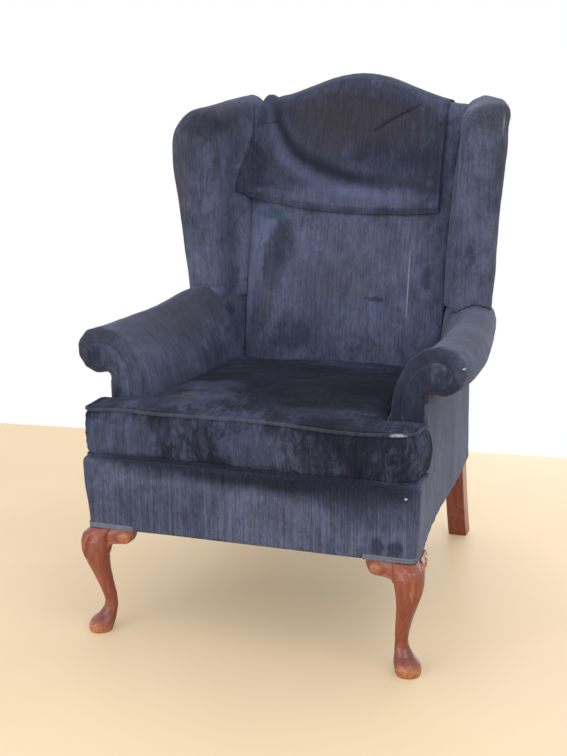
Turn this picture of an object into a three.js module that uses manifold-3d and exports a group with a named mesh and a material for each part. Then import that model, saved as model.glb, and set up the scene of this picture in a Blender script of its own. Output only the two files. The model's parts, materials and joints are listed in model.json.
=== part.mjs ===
// Wingback armchair: a hardwood frame with cabriole front legs and raked rear legs,
// sprung and padded, with rolled arms, splayed wings, a T-shaped loose seat cushion
// and a loose cloth cover laid over the top of the back.
//
// Units are millimetres. +X points to the right as seen from the front, +Y to the rear
// and +Z up. While it is built, Y is zero at the front face of the seat border and Z is
// zero at the floor; the finished group is centred on its bounding box.

import * as THREE from 'three';
import { mergeVertices } from 'three/addons/utils/BufferGeometryUtils.js';
import Module from 'manifold-3d';

const wasm = await Module();
wasm.setup();

// Fits
const clearance = 0.3;
const overrun = 6;
const softEase = 0.6;
const mergeTolerance = 1e-4;
const cornerSteps = 5;

// Seat frame and its border
const seatHalfWidth = 326;
const seatTaper = 58;
const seatDepth = 721;
const seatFallShare = 0.031;
const legHeight = 217;
const borderHeight = 140;
const deckZ = legHeight + borderHeight;
const borderWall = 12;
const borderLip = 22;
const borderDepth = 104;
const borderCornerRadius = 16;
const borderEdgeRadius = 12;
const borderFlare = 6;
const borderFlareShare = 0.7;
const railHeight = 80;
const railThickness = 28;
const dustCoverThickness = 1.5;
const dustCoverInset = 4;
const panelThickness = 5;
const cornerBlockReach = 62;
const cornerBlockHeight = 36;

// Back
const backDepthLow = 140;
const backDepthHigh = 96;
const backSweep = 95;
const backSweepPower = 1.7;
const backSweepRise = 11;
const backSweepStart = deckZ + backSweepRise;
const backRise = 695;
const backFlare = 24;
const backOuterHalfWidth = seatHalfWidth - seatTaper + backFlare;
const creaseInset = 64;
const creaseHalfWidth = backOuterHalfWidth - creaseInset;
const creaseFlare = 20;
const camelTop = deckZ + backRise;
const camelRise = 62;
const camelHalfWidth = creaseHalfWidth + creaseFlare;
const backShoulderDrop = 67;
const backShoulderZ = camelTop - backShoulderDrop;
const backEdgeRise = 46;
const backPanelDrop = 41;
const backEdgeDraw = 9;
const backCrown = 10;
const topRailHeight = 62;
const topRailThickness = 28;
const topRailCover = 34;
const lowerRailRise = 190;
const lowerRailHeight = 46;

// Arms
const armRise = 234;
const armTop = deckZ + armRise;
const rollRadius = 46;
const rollOutreach = 62;
const rollBulge = 9;
const armDip = 10;
const armInset = 76;
const armCushionRise = 89;
const armCushionZ = deckZ + armCushionRise;
const armPadShare = 0.57;
const armFrontWall = 12;
const armPostWidth = 30;
const armPostDepth = 38;
const armRailThickness = 28;
const armRailHalfWidth = 27;
const armRailDrop = 76;
const armFilletReach = 6;
const armEdgeRound = 7;
const armTuckShare = 0.75;
const facingThickness = 5.7;
const facingInset = 21;
const facingDrop = 9;
const facingShift = 3;
const facingSideInset = 8;
const facingRound = 2;

// Wings
const wingDepth = 181;
const wingFrontY = seatDepth - wingDepth;
const wingReach = 60;
const wingLean = 18;
const wingThickness = 98;
const wingSplayShare = 0.08;
const wingOuterRadius = 25;
const wingInnerRadius = 30;
const wingTopDrop = 46;
const wingTop = camelTop - wingTopDrop;
const wingShoulderDrop = 72;
const wingRetreat = 78;
const wingTopFall = 27;
const wingPeakBack = 39;
const wingPeakY = seatDepth + wingPeakBack;
const wingBulgeInShare = 0.16;
const wingBulgeBackShare = 0.62;
const wingCapRadius = 26;
const wingPanelInsetShare = 1.5;
const wingPostSize = 26;
const wingPostInsetX = 47;
const wingPostInsetY = 29;
const wingRailHeight = 28;
const wingRailWidth = 26;

// Legs
const legBlockSize = 45;
const legAxisOffset = 8;
const kneeRadius = 27;
const kneeOut = 26;
const kneeTopRadius = 24;
const kneeTopOut = 8;
const rearLegSize = 42;
const rearLegRake = 66;
const rearLegRakePower = 1.9;
const rearLegBendRise = 83;
const rearLegBendZ = legHeight + rearLegBendRise;
const earReach = 60;
const earDropShare = 0.277;
const earThickness = 24;
const earTip = 7;
const earSetback = 4;
const earBallRadius = 11;
const earBallReachShare = 0.72;
const earThroatShare = 0.34;
const gimpHeight = 10;
const gimpThickness = 2;
const gimpReach = 98;
const gimpSideReach = 62;

// Springs and webbing
const springWire = 4;
const springSpread = 90;
const springSwing = 21;
const springLoops = 8;
const springSides = 5;
const springCount = 4;
const springPointsPerLoop = 4;
const springStepsPerLoop = 6;
const springArchPower = 0.6;
const backStrapHeight = 52;
const backStrapThickness = 3;
const backStrapSetback = 3;
const backStrapCount = 3;
const deckThickness = 22;

// Seat cushion
const cushionThickness = 99;
const cushionFront = 7;
const cushionCrown = 17;
const cushionOverhang = 8;
const cushionCornerRadius = 25;
const cushionEarRadius = 12;
const cushionRearRadius = 22;
const cushionDrawIn = 5;
const pipingRadius = 4;
const pipingSides = 6;
const pipingGroove = 7.6;

// Head cover
const coverThickness = 3;
const coverLift = 2.4;
const coverFrontDrop = 248;
const coverHemLeft = camelTop - coverFrontDrop;
const coverHemDip = 47;
const coverHemShare = 0.72;
const coverHemPower = 0.55;
const coverWingGap = 5.6;
const coverTopLeftInset = 26;
const coverRightInset = 42;
const coverTopLeftX = camelHalfWidth - coverTopLeftInset;
const coverRightX = camelHalfWidth - coverRightInset;
const coverSwagRise = 28;
const coverSwagPower = 0.45;
const coverSwagShare = 1.15;
const coverRipples = 7;
const coverRearDrop = 78;
const coverFoldDepth = 13;
const coverFoldWidth = 26;
const coverRippleDepth = 3;

// Materials
function cloth(colour) {
  return new THREE.MeshStandardMaterial({ color: colour, roughness: 0.92, metalness: 0 });
}

const materials = {
  velvet: cloth(0x3b4360),
  velvetShade: cloth(0x343b55),
  velvetCushion: cloth(0x2b3040),
  velvetFacing: cloth(0x2c3450),
  headCloth: cloth(0x4a4c5c),
  gimp: cloth(0x7f93a8),
  jute: cloth(0x9c8258),
  muslin: cloth(0x2a2a2c),
  mahogany: new THREE.MeshStandardMaterial({ color: 0x6b2a17, roughness: 0.38, metalness: 0 }),
  beech: new THREE.MeshStandardMaterial({ color: 0xb98f5e, roughness: 0.7, metalness: 0 }),
  steel: new THREE.MeshStandardMaterial({ color: 0x77797c, roughness: 0.35, metalness: 1 }),
};

// Plain geometry helpers
const { clamp, lerp } = THREE.MathUtils;

function signedVolume(positions, indices) {
  let volume = 0;
  const corner = [new THREE.Vector3(), new THREE.Vector3(), new THREE.Vector3()];
  for (let i = 0; i < indices.length; i += 3) {
    for (let k = 0; k < 3; k++) {
      corner[k].fromArray(positions, indices[i + k] * 3);
    }
    volume += corner[0].dot(corner[1].clone().cross(corner[2]));
  }
  return volume;
}

function closedGeometry(positions, indices) {
  if (signedVolume(positions, indices) < 0) {
    for (let i = 0; i < indices.length; i += 3) {
      [indices[i], indices[i + 1]] = [indices[i + 1], indices[i]];
    }
  }
  const geometry = new THREE.BufferGeometry();
  geometry.setAttribute('position', new THREE.Float32BufferAttribute(positions, 3));
  geometry.setIndex(indices);
  return geometry;
}

// Closes the end of a loft: the ring is cut into triangles on the plane it spans most widely
function capTriangles(ring, first) {
  const normal = [0, 0, 0];
  ring.forEach((a, i) => {
    const b = ring[(i + 1) % ring.length];
    for (let k = 0; k < 3; k++) {
      const m = (k + 1) % 3;
      const n = (k + 2) % 3;
      normal[k] += (a[m] - b[m]) * (a[n] + b[n]);
    }
  });
  const size = normal.map(Math.abs);
  const main = size.indexOf(Math.max(...size));
  const contour = ring.map((p) => new THREE.Vector2(p[(main + 1) % 3], p[(main + 2) % 3]));
  return THREE.ShapeUtils.triangulateShape(contour, []).flat().map((index) => first + index);
}

// Joins rings of equal point count into one closed skin, with a cap at each end
// or, where looped is true, with the last ring joined to the first.
function loft(rings, looped = false) {
  const count = rings[0].length;
  const positions = rings.flat(2);
  const indices = [];
  const spans = looped ? rings.length : rings.length - 1;
  for (let r = 0; r < spans; r++) {
    const low = r * count;
    const high = ((r + 1) % rings.length) * count;
    for (let i = 0; i < count; i++) {
      const j = (i + 1) % count;
      indices.push(low + i, low + j, high + j, low + i, high + j, high + i);
    }
  }
  if (!looped) {
    const last = (rings.length - 1) * count;
    const caps = [capTriangles(rings[0], 0), capTriangles(rings[rings.length - 1], last)];
    indices.push(...caps.flatMap((cap) => matchedCap(cap, indices)));
  }
  return closedGeometry(positions, indices);
}

// Turns a cap over where its rim edges run the same way as the side wall's
function matchedCap(cap, walls) {
  const edges = (faces) => faces.map((from, i) => `${from}_${faces[i % 3 === 2 ? i - 2 : i + 1]}`);
  const wallEdges = new Set(edges(walls));
  if (!edges(cap).some((edge) => wallEdges.has(edge))) return cap;
  return cap.map((index, i) => cap[[i, i + 1, i - 1][i % 3]]);
}

function solidOf(geometry) {
  const bare = new THREE.BufferGeometry();
  bare.setAttribute('position', geometry.getAttribute('position'));
  bare.setIndex(geometry.getIndex());
  const merged = mergeVertices(bare, mergeTolerance);
  return new wasm.Manifold(new wasm.Mesh({
    numProp: 3,
    vertProperties: Float32Array.from(merged.getAttribute('position').array),
    triVerts: Uint32Array.from(merged.getIndex().array),
  }));
}

function geometryOf(solid) {
  const mesh = solid.getMesh();
  const positions = [];
  for (let i = 0; i < mesh.vertProperties.length; i += mesh.numProp) {
    positions.push(mesh.vertProperties[i], mesh.vertProperties[i + 1], mesh.vertProperties[i + 2]);
  }
  return closedGeometry(positions, Array.from(mesh.triVerts));
}

function carve(geometry, cutters) {
  let solid = solidOf(geometry);
  for (const cutter of cutters) {
    solid = solid.subtract(solidOf(cutter));
  }
  return geometryOf(solid);
}

function mirrored(geometry) {
  const positions = Array.from(geometry.getAttribute('position').array);
  for (let i = 0; i < positions.length; i += 3) {
    positions[i] = -positions[i];
  }
  return closedGeometry(positions, Array.from(geometry.getIndex().array));
}

// A straight piece with four-cornered ends, given the low and high corner of each end
function block(ringA, ringB) {
  return loft([ringA, ringB]);
}

function rectangle(xLow, xHigh, yLow, yHigh, z) {
  return [[xLow, yLow, z], [xHigh, yLow, z], [xHigh, yHigh, z], [xLow, yHigh, z]];
}

// Rounds the corners of a flat outline; a corner with radius zero stays sharp
function roundedOutline(corners, steps) {
  const outline = [];
  corners.forEach(({ at, radius }, i) => {
    const corner = new THREE.Vector2(...at);
    if (!radius) {
      outline.push([...at]);
      return;
    }
    const before = new THREE.Vector2(...corners[(i + corners.length - 1) % corners.length].at);
    const after = new THREE.Vector2(...corners[(i + 1) % corners.length].at);
    const toBefore = before.sub(corner).normalize();
    const toAfter = after.sub(corner).normalize();
    const half = Math.acos(clamp(toBefore.dot(toAfter), -1, 1)) / 2;
    const reach = radius / Math.tan(half);
    const start = corner.clone().addScaledVector(toBefore, reach);
    const end = corner.clone().addScaledVector(toAfter, reach);
    const bisector = toBefore.clone().add(toAfter).normalize();
    const centre = corner.clone().addScaledVector(bisector, radius / Math.sin(half));
    const from = start.sub(centre);
    const to = end.sub(centre);
    const turn = Math.atan2(from.cross(to), from.dot(to));
    for (let s = 0; s <= steps; s++) {
      const point = from.clone().rotateAround(new THREE.Vector2(), (turn * s) / steps).add(centre);
      outline.push([point.x, point.y]);
    }
  });
  return outline;
}

// Moves a flat outline inward by a distance, along the mean normal at each point
function insetOutline(outline, distance) {
  const turn = Math.sign(THREE.ShapeUtils.area(outline.map((p) => new THREE.Vector2(...p))));
  return outline.map((point, i) => {
    const before = new THREE.Vector2(...outline[(i + outline.length - 1) % outline.length]);
    const after = new THREE.Vector2(...outline[(i + 1) % outline.length]);
    const here = new THREE.Vector2(...point);
    const incoming = here.clone().sub(before).normalize();
    const outgoing = after.sub(here).normalize();
    const normal = new THREE.Vector2(-(incoming.y + outgoing.y), incoming.x + outgoing.x).normalize();
    const spread = Math.max(normal.dot(new THREE.Vector2(-incoming.y, incoming.x)), 0.5);
    here.addScaledVector(normal, (turn * distance) / spread);
    return [here.x, here.y];
  });
}

// Straight-line reading of a table of values at rising shares
function readTable(shares, values, share) {
  if (share <= shares[0]) return values[0];
  for (let i = 1; i < shares.length; i++) {
    if (share <= shares[i]) {
      return lerp(values[i - 1], values[i], (share - shares[i - 1]) / (shares[i] - shares[i - 1]));
    }
  }
  return values[values.length - 1];
}

// Places shared by the frame and the upholstery
function seatLevel(height, y) {
  return height - seatFallShare * y;
}

function outerSide(y) {
  return seatHalfWidth - (seatTaper * y) / seatDepth;
}

function rearFace(z) {
  const rise = Math.max(0, z - backSweepStart) / (backShoulderZ - backSweepStart);
  const rake = rearLegRake * (Math.max(0, rearLegBendZ - z) / rearLegBendZ) ** rearLegRakePower;
  return seatDepth + backSweep * rise ** backSweepPower + rake;
}

function backOuterWidth(z) {
  const share = clamp((z - armPanelTopZ) / (armTop - armPanelTopZ), 0, 1);
  return lerp(outerSide(seatDepth), backOuterHalfWidth, share);
}

const rollZ = armTop - rollRadius;
const armPanelTopZ = rollZ - rollRadius - armDip - armFilletReach - clearance;
const railBottomZ = legHeight + dustCoverThickness + clearance;
const railTopZ = railBottomZ + railHeight;
const armBottomZ = railTopZ + clearance;
const armFrontY = borderDepth;
const armBackY = rearFace(armCushionZ) - backDepthLow + rollRadius * armTuckShare;
const armEndY = seatDepth - panelThickness - clearance * 4;

function backFace(z) {
  const level = Math.max(z, armCushionZ);
  const share = (level - armCushionZ) / (backShoulderZ - armCushionZ);
  return rearFace(level) - lerp(backDepthLow, backDepthHigh, share);
}

function camelLine(x) {
  const share = clamp(Math.abs(x) / camelHalfWidth, 0, 1);
  return camelTop - camelRise * Math.sin((share * Math.PI) / 2) ** 2;
}

function creaseX(z) {
  const share = clamp((z - armTop) / (backShoulderZ - armTop), 0, 1);
  return creaseHalfWidth + creaseFlare * share ** 3;
}

// Rear legs and stiles, one piece each side
const postHalf = rearLegSize / 2;

function postCentreX(z) {
  return backOuterWidth(z) - panelThickness - clearance * 2 - postHalf;
}

function postCentreY(z) {
  return rearFace(z) - panelThickness - clearance - postHalf;
}

// Inner side of the stile, read straight between the levels where it bends
function postInner(z) {
  return readTable(backLevels, backLevels.map(postCentreX), z) - postHalf;
}

function postFront(z) {
  return postCentreY(z) - postHalf;
}

const postTopZ = backShoulderZ - topRailCover;

const rakeLevelShares = [0, 0.12, 0.26, 0.4, 0.55, 0.7, 0.85, 1];
const sweepLevelShares = [0.22, 0.42, 0.62, 0.81, 1];

// Heights at which everything along the back bends together
const backLevels = [
  ...rakeLevelShares.map((share) => share * rearLegBendZ),
  backSweepStart,
  armPanelTopZ,
  armTop,
  ...sweepLevelShares.map((share) => lerp(armTop, postTopZ, share)),
];

// The rear face, read straight between the levels where it bends
function backLine(z) {
  return z < postTopZ ? readTable(backLevels, backLevels.map(rearFace), z) : rearFace(z);
}

function levelsBetween(low, high) {
  return [low, ...backLevels.filter((z) => z > low + overrun && z < high - overrun), high];
}

function postGeometry(grow) {
  const rings = backLevels.map((z) => {
    const x = postCentreX(z);
    const y = postCentreY(z);
    const half = postHalf + grow;
    return rectangle(x - half, x + half, y - half, y + half, z);
  });
  const top = rings[rings.length - 1];
  top.forEach((corner) => {
    corner[2] += grow;
  });
  return loft(rings);
}

// Seat rails
const legBlockFrontY = borderWall + clearance;
const legBlockRearY = legBlockFrontY + legBlockSize;
const legBlockOuterX = outerSide(legBlockRearY) - borderWall - clearance;
const legBlockInnerX = legBlockOuterX - legBlockSize;

// A flat outline raised between two heights, both of which fall with the seat
function slopedPrism(outline, low, high) {
  return loft([low, high].map((z) => outline.map(([x, y]) => [x, y, seatLevel(z, y)])));
}

function levelRectangle(xLow, xHigh, y, zLow, zHigh) {
  return [
    [xLow, y, seatLevel(zLow, y)],
    [xHigh, y, seatLevel(zLow, y)],
    [xHigh, y, seatLevel(zHigh, y)],
    [xLow, y, seatLevel(zHigh, y)],
  ];
}

function frontRail() {
  const half = legBlockInnerX - clearance;
  return block(
    levelRectangle(-half, half, legBlockFrontY, railBottomZ, railTopZ),
    levelRectangle(-half, half, legBlockFrontY + railThickness, railBottomZ, railTopZ),
  );
}

const postInnerX = postCentreX(railTopZ) - postHalf;
const rearRailRearY = rearFace(railTopZ) - panelThickness - clearance * 2;
const rearRailFrontY = rearRailRearY - railThickness;

function rearRail() {
  const half = postCentreX(railTopZ) - postHalf - clearance;
  return block(
    levelRectangle(-half, half, rearRailFrontY, railBottomZ, railTopZ),
    levelRectangle(-half, half, rearRailRearY, railBottomZ, railTopZ),
  );
}

function sideRailOuter(y) {
  return outerSide(y) - borderWall - clearance;
}

function sideRail() {
  const start = legBlockRearY + clearance;
  const end = postFront(railTopZ) + overrun;
  const rail = block(
    ...[start, end].map((y) => {
      const outer = sideRailOuter(y);
      return levelRectangle(outer - railThickness, outer, y, railBottomZ, railTopZ);
    }),
  );
  return carve(rail, [postGeometry(clearance)]);
}

function cornerBlock(outline) {
  const low = railBottomZ + (railHeight - cornerBlockHeight) / 2;
  return slopedPrism(outline, low, low + cornerBlockHeight);
}

function frontCornerBlock() {
  const frontY = legBlockFrontY + railThickness + clearance;
  const rearY = legBlockRearY + clearance;
  const innerX = legBlockInnerX - clearance;
  const sideX = (y) => sideRailOuter(y) - railThickness - clearance;
  return cornerBlock([
    [innerX - cornerBlockReach, frontY],
    [innerX, frontY],
    [innerX, rearY],
    [sideX(rearY), rearY],
    [sideX(rearY + cornerBlockReach), rearY + cornerBlockReach],
  ]);
}

function rearCornerBlock() {
  const rearY = rearRailFrontY - clearance;
  const frontY = postFront(railTopZ) - clearance;
  const innerX = postInnerX - clearance * 2;
  const sideX = (y) => sideRailOuter(y) - railThickness - clearance;
  const reachX = Math.min(innerX, sideX(frontY)) - cornerBlockReach;
  const nearY = Math.min(rearY, frontY);
  const blank = cornerBlock([
    [sideX(nearY - cornerBlockReach), nearY - cornerBlockReach],
    [sideX(nearY), nearY],
    [innerX, nearY],
    [innerX, rearY],
    [reachX, rearY],
  ]);
  return carve(blank, [postGeometry(clearance)]);
}

// Arms: inner face, roll and wall along their length
const armLength = armBackY - armFrontY;
const armStationShares = [0, 0.06, 0.13, 0.22, 0.32, 0.44, 0.56, 0.67, 0.77, 0.86, 0.93, 1];
const armInnerShares = [1, 0.72, 0.48, 0.3, 0.2, 0.17, 0.18, 0.22, 0.28, 0.2, 0.08, 0];
const armRollShares = [0, 0.2, 0.3, 0.15, -0.15, -0.6, -1.2, -1.8, -2.4, -3.1, -3.9, -4.6];
const armDipShares = [0, 0.35, 0.7, 0.95, 1, 1, 0.95, 0.8, 0.6, 0.5, 0.5, 0.5];
const armSlopePowers = [2.2, 2.1, 1.95, 1.8, 1.65, 1.5, 1.5, 1.5, 1.7, 2.3, 3.6, 7];
const armInnerSpread = seatHalfWidth - armInset - creaseHalfWidth;

function innerFace(y) {
  const share = readTable(armStationShares, armInnerShares, (y - armFrontY) / armLength);
  return creaseHalfWidth + clearance + armInnerSpread * share;
}

function rollOuter(y) {
  const base = seatHalfWidth + rollOutreach;
  if (y <= armBackY) {
    return base + rollBulge * readTable(armStationShares, armRollShares, (y - armFrontY) / armLength);
  }
  const atBack = base + rollBulge * armRollShares[armRollShares.length - 1];
  return lerp(atBack, backOuterHalfWidth + armFilletReach, (y - armBackY) / (armEndY - armBackY));
}

function crestZ(y) {
  return armTop - armDip * readTable(armStationShares, armDipShares, (y - armFrontY) / armLength);
}

function slopePower(y) {
  return readTable(armStationShares, armSlopePowers, (y - armFrontY) / armLength);
}

const slopeSteps = 7;
const rollSteps = 7;
const rollEndShares = [-0.5, 0.95];

function armOutline(y) {
  const inner = innerFace(y);
  const crestX = rollOuter(y) - rollRadius;
  const wall = outerSide(y);
  const power = slopePower(y);
  const crest = crestZ(y);
  const middle = crest - rollRadius;
  const outline = [[inner, armBottomZ]];
  for (let i = 0; i <= slopeSteps; i++) {
    const across = Math.cos(((i / slopeSteps) * Math.PI) / 2);
    const up = Math.max(0, 1 - across ** power) ** (1 / power);
    outline.push([crestX - (crestX - inner) * across, armCushionZ + (crest - armCushionZ) * up]);
  }
  const lastAngle = -Math.acos(clamp((wall + armFilletReach - crestX) / rollRadius, ...rollEndShares));
  for (let i = 1; i <= rollSteps; i++) {
    const angle = lerp(Math.PI / 2, lastAngle, i / rollSteps);
    outline.push([crestX + rollRadius * Math.cos(angle), middle + rollRadius * Math.sin(angle)]);
  }
  const underside = middle + rollRadius * Math.sin(lastAngle);
  outline.push([wall, underside - armFilletReach], [wall, armBottomZ]);
  return outline;
}

function armRing(y, inset) {
  const outline = inset ? insetOutline(armOutline(y), inset) : armOutline(y);
  return outline.map(([x, z]) => [x, y, z]);
}

const armRoundShares = [
  { backShare: 0, inShare: 1 },
  { backShare: 0.3, inShare: 0.35 },
  { backShare: 1, inShare: 0 },
];

function armVolume(grow) {
  const front = armFrontY + clearance;
  const stations = armStationShares.slice(1).map((share) => armFrontY + share * armLength);
  stations.push((armBackY + armEndY) / 2, armEndY);
  const rings = armRoundShares.map(({ backShare, inShare }) => {
    const y = front - grow * (1 - backShare) + armEdgeRound * backShare;
    return armRing(y, armEdgeRound * inShare - grow);
  });
  stations.forEach((y) => rings.push(armRing(y, -grow)));
  return loft(rings);
}

const armPostFrontY = armFrontY + armFrontWall + clearance * 2;
const armPostRearY = armPostFrontY + armPostDepth;
const armRailBottomZ = armTop - armRailDrop;
const armRailTopZ = armRailBottomZ + armRailThickness;

function armPost(grow) {
  const low = seatLevel(railTopZ, armPostFrontY) + clearance;
  const ring = (z) => {
    const outer = outerSide(armPostRearY) - panelThickness - clearance;
    return rectangle(
      outer - armPostWidth - grow, outer + grow, armPostFrontY - grow, armPostRearY + grow, z,
    );
  };
  return block(ring(low - grow), ring(armRailBottomZ - clearance + grow));
}

function armRailCentre(y) {
  return rollOuter(y) - rollRadius - armFilletReach;
}

function armRail(grow) {
  const endY = postFront(armRailTopZ) + overrun;
  const middle = (armFrontY + armBackY) / 2;
  const ring = (y, halfWidth, centre = armRailCentre(y)) => {
    return [
      [centre - halfWidth - grow, y, armRailBottomZ - grow],
      [centre + halfWidth + grow, y, armRailBottomZ - grow],
      [centre + halfWidth + grow, y, armRailTopZ + grow],
      [centre - halfWidth - grow, y, armRailTopZ + grow],
    ];
  };
  const rail = loft([
    ring(armPostFrontY - grow, armRailHalfWidth),
    ring(middle, armRailHalfWidth),
    ring(armBackY, armRailHalfWidth),
    ring(endY, postHalf - clearance, postCentreX(armRailTopZ)),
  ]);
  return grow ? rail : carve(rail, [postGeometry(clearance)]);
}

// Wings: plan section at each height
function wingShift(z) {
  const share = clamp((z - (wingTop - wingShoulderDrop)) / wingShoulderDrop, 0, 1);
  return wingRetreat * (1 - Math.sqrt(1 - share * share));
}

function wingCorners(z) {
  const lean = wingLean * clamp((z - armTop) / (wingTop - wingShoulderDrop - armTop), 0, 1);
  const along = new THREE.Vector2(-wingSplayShare, 1).normalize();
  const across = new THREE.Vector2(-along.y, along.x);
  const rear = new THREE.Vector2(backOuterWidth(z), rearFace(z));
  const frontOuter = new THREE.Vector2(backOuterHalfWidth + wingReach + lean, wingFrontY);
  const toRear = rear.clone().sub(frontOuter).normalize();
  frontOuter.addScaledVector(toRear, wingShift(z));
  const frontInner = frontOuter.clone().addScaledVector(across, wingThickness);
  const creaseY = Math.max(backFace(z), frontInner.y + wingInnerRadius);
  const crease = new THREE.Vector2(creaseX(z) + clearance, creaseY);
  const rearInner = new THREE.Vector2(crease.x, rearFace(z));
  const bulge = new THREE.Vector2(
    lerp(frontInner.x, crease.x, wingBulgeInShare),
    lerp(frontInner.y, crease.y, wingBulgeBackShare),
  );
  return { rear, frontOuter, frontInner, bulge, crease, rearInner };
}

function wingOutline(z) {
  const { rear, frontOuter, frontInner, bulge, crease, rearInner } = wingCorners(z);
  return roundedOutline([
    { at: rear.toArray(), radius: 0 },
    { at: rear.clone().lerp(frontOuter, 0.5).toArray(), radius: 0 },
    { at: frontOuter.toArray(), radius: wingOuterRadius },
    { at: frontInner.toArray(), radius: wingInnerRadius },
    { at: bulge.toArray(), radius: 0 },
    { at: crease.toArray(), radius: 0 },
    { at: rearInner.toArray(), radius: 0 },
  ], cornerSteps);
}

const wingBottomZ = armTop - rollRadius / 2;

const wingLevelShares = [0, 0.14, 0.28, 0.42, 0.56, 0.67, 0.76, 0.83, 0.88, 0.93];
const wingCapWallShare = 0.6;
const wingCapShares = [
  { dropShare: 1, inShare: 0 },
  { dropShare: 0.6, inShare: 0.1 },
  { dropShare: 0.28, inShare: 0.32 },
  { dropShare: 0.08, inShare: 0.6 },
  { dropShare: 0, inShare: 0.9 },
];

// The top of a wing falls toward the front: the drop grows with height and with distance from the peak
function wingSloped([x, y, z]) {
  const from = wingTop - wingShoulderDrop * 2;
  const height = clamp((z - from) / (wingTop - from), 0, 1);
  const forward = clamp((wingPeakY - y) / (wingPeakY - wingFrontY), 0, 1);
  return [x, y, z - wingTopFall * height * forward];
}

function wingVolume(grow) {
  const heights = wingLevelShares.map((share) => lerp(wingBottomZ, wingTop - wingCapRadius, share));
  const rings = heights.map((z) => insetOutline(wingOutline(z), -grow).map(([x, y]) => [x, y, z]));
  const { rear, crease } = wingCorners(wingTop - wingCapRadius);
  const roundIn = Math.min(wingCapRadius, (rear.x - crease.x) * wingCapWallShare);
  wingCapShares.forEach(({ dropShare, inShare }) => {
    const z = wingTop - wingCapRadius * dropShare;
    const cap = insetOutline(wingOutline(wingTop - wingCapRadius), roundIn * inShare - grow);
    rings.push(cap.map(([x, y]) => [x, y, z + grow * (1 - dropShare)]));
  });
  return loft(rings.map((ring) => ring.map(wingSloped)));
}

function wingPostCentre(z) {
  const { frontOuter } = wingCorners(Math.min(z, wingTop - wingShoulderDrop));
  return new THREE.Vector2(frontOuter.x - wingPostInsetX, frontOuter.y + wingPostInsetY);
}

const wingPostTopZ = wingTop - wingShoulderDrop;

function wingPost(grow) {
  const half = wingPostSize / 2 + grow;
  const rings = [armRailTopZ + clearance - grow, armTop, wingPostTopZ + grow].map((z) => {
    const { x, y } = wingPostCentre(z);
    return rectangle(x - half, x + half, y - half, y + half, z);
  });
  return loft(rings);
}

function wingTopRail(grow) {
  const half = wingRailWidth / 2 + grow;
  const high = wingPostTopZ + grow;
  const low = wingPostTopZ - wingRailHeight - grow;
  const start = wingPostCentre(wingPostTopZ);
  const endZ = (high + low) / 2;
  const end = new THREE.Vector2(postCentreX(endZ), postCentreY(endZ));
  const along = end.clone().sub(start).normalize();
  start.addScaledVector(along, wingPostSize / 2 - grow);
  const side = new THREE.Vector2(-along.y, along.x).multiplyScalar(half);
  const ring = ({ x, y }) => [
    [x - side.x, y - side.y, low],
    [x + side.x, y + side.y, low],
    [x + side.x, y + side.y, high],
    [x - side.x, y - side.y, high],
  ];
  const rail = block(ring(start), ring(end));
  return grow ? rail : carve(rail, [wingPost(clearance), postGeometry(clearance)]);
}

// Back rails
function backRailRing(x, zLow, zHigh, thickness, grow) {
  const yLow = postCentreY(zLow);
  const yHigh = postCentreY(zHigh);
  const half = thickness / 2 + grow;
  return [
    [x, yLow - half, zLow - grow],
    [x, yLow + half, zLow - grow],
    [x, yHigh + half, zHigh + grow],
    [x, yHigh - half, zHigh + grow],
  ];
}

const topRailBottomZ = postTopZ - topRailHeight;

function topRail(grow) {
  const half = postCentreX(postTopZ) - postHalf - clearance * 2 + grow;
  const stations = [-1, -0.8, -0.6, -0.4, -0.2, 0, 0.2, 0.4, 0.6, 0.8, 1];
  return loft(stations.map((share) => {
    const x = share * half;
    return backRailRing(x, topRailBottomZ, camelLine(x) - topRailCover, topRailThickness, grow);
  }));
}

function lowerRail(grow) {
  const low = legHeight + lowerRailRise;
  const high = low + lowerRailHeight;
  const half = Math.min(...[low, high].map(postInner)) - clearance + grow;
  return loft([-half, half].map((x) => backRailRing(x, low, high, topRailThickness, grow)));
}

function backStrap(index) {
  const from = legHeight + lowerRailRise + lowerRailHeight;
  const pitch = (topRailBottomZ - from) / backStrapCount;
  const low = from + pitch * (index + 0.5) - backStrapHeight / 2;
  const high = low + backStrapHeight;
  const half = Math.min(...[low, high].map(postInner)) - clearance;
  const ring = (z) => {
    const front = postFront(z) + backStrapSetback;
    return rectangle(-half, half, front, front + backStrapThickness, z);
  };
  return loft([ring(low), ring(high)]);
}

// Front legs
function superRing(x, y, z, half, squareness, sheared) {
  const points = [];
  const sides = 20;
  for (let i = 0; i < sides; i++) {
    const angle = ((i + 0.5) / sides) * Math.PI * 2;
    const c = Math.cos(angle);
    const s = Math.sin(angle);
    const scale = half / (Math.abs(c) ** squareness + Math.abs(s) ** squareness) ** (1 / squareness);
    const py = y + s * scale;
    points.push([x + c * scale, py, sheared ? seatLevel(z, py) : z]);
  }
  return points;
}

const legBlockX = (legBlockOuterX + legBlockInnerX) / 2;
const legBlockY = (legBlockFrontY + legBlockRearY) / 2;
const legAxisX = legBlockX + legAxisOffset;
const legAxisY = legBlockY - legAxisOffset;

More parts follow.
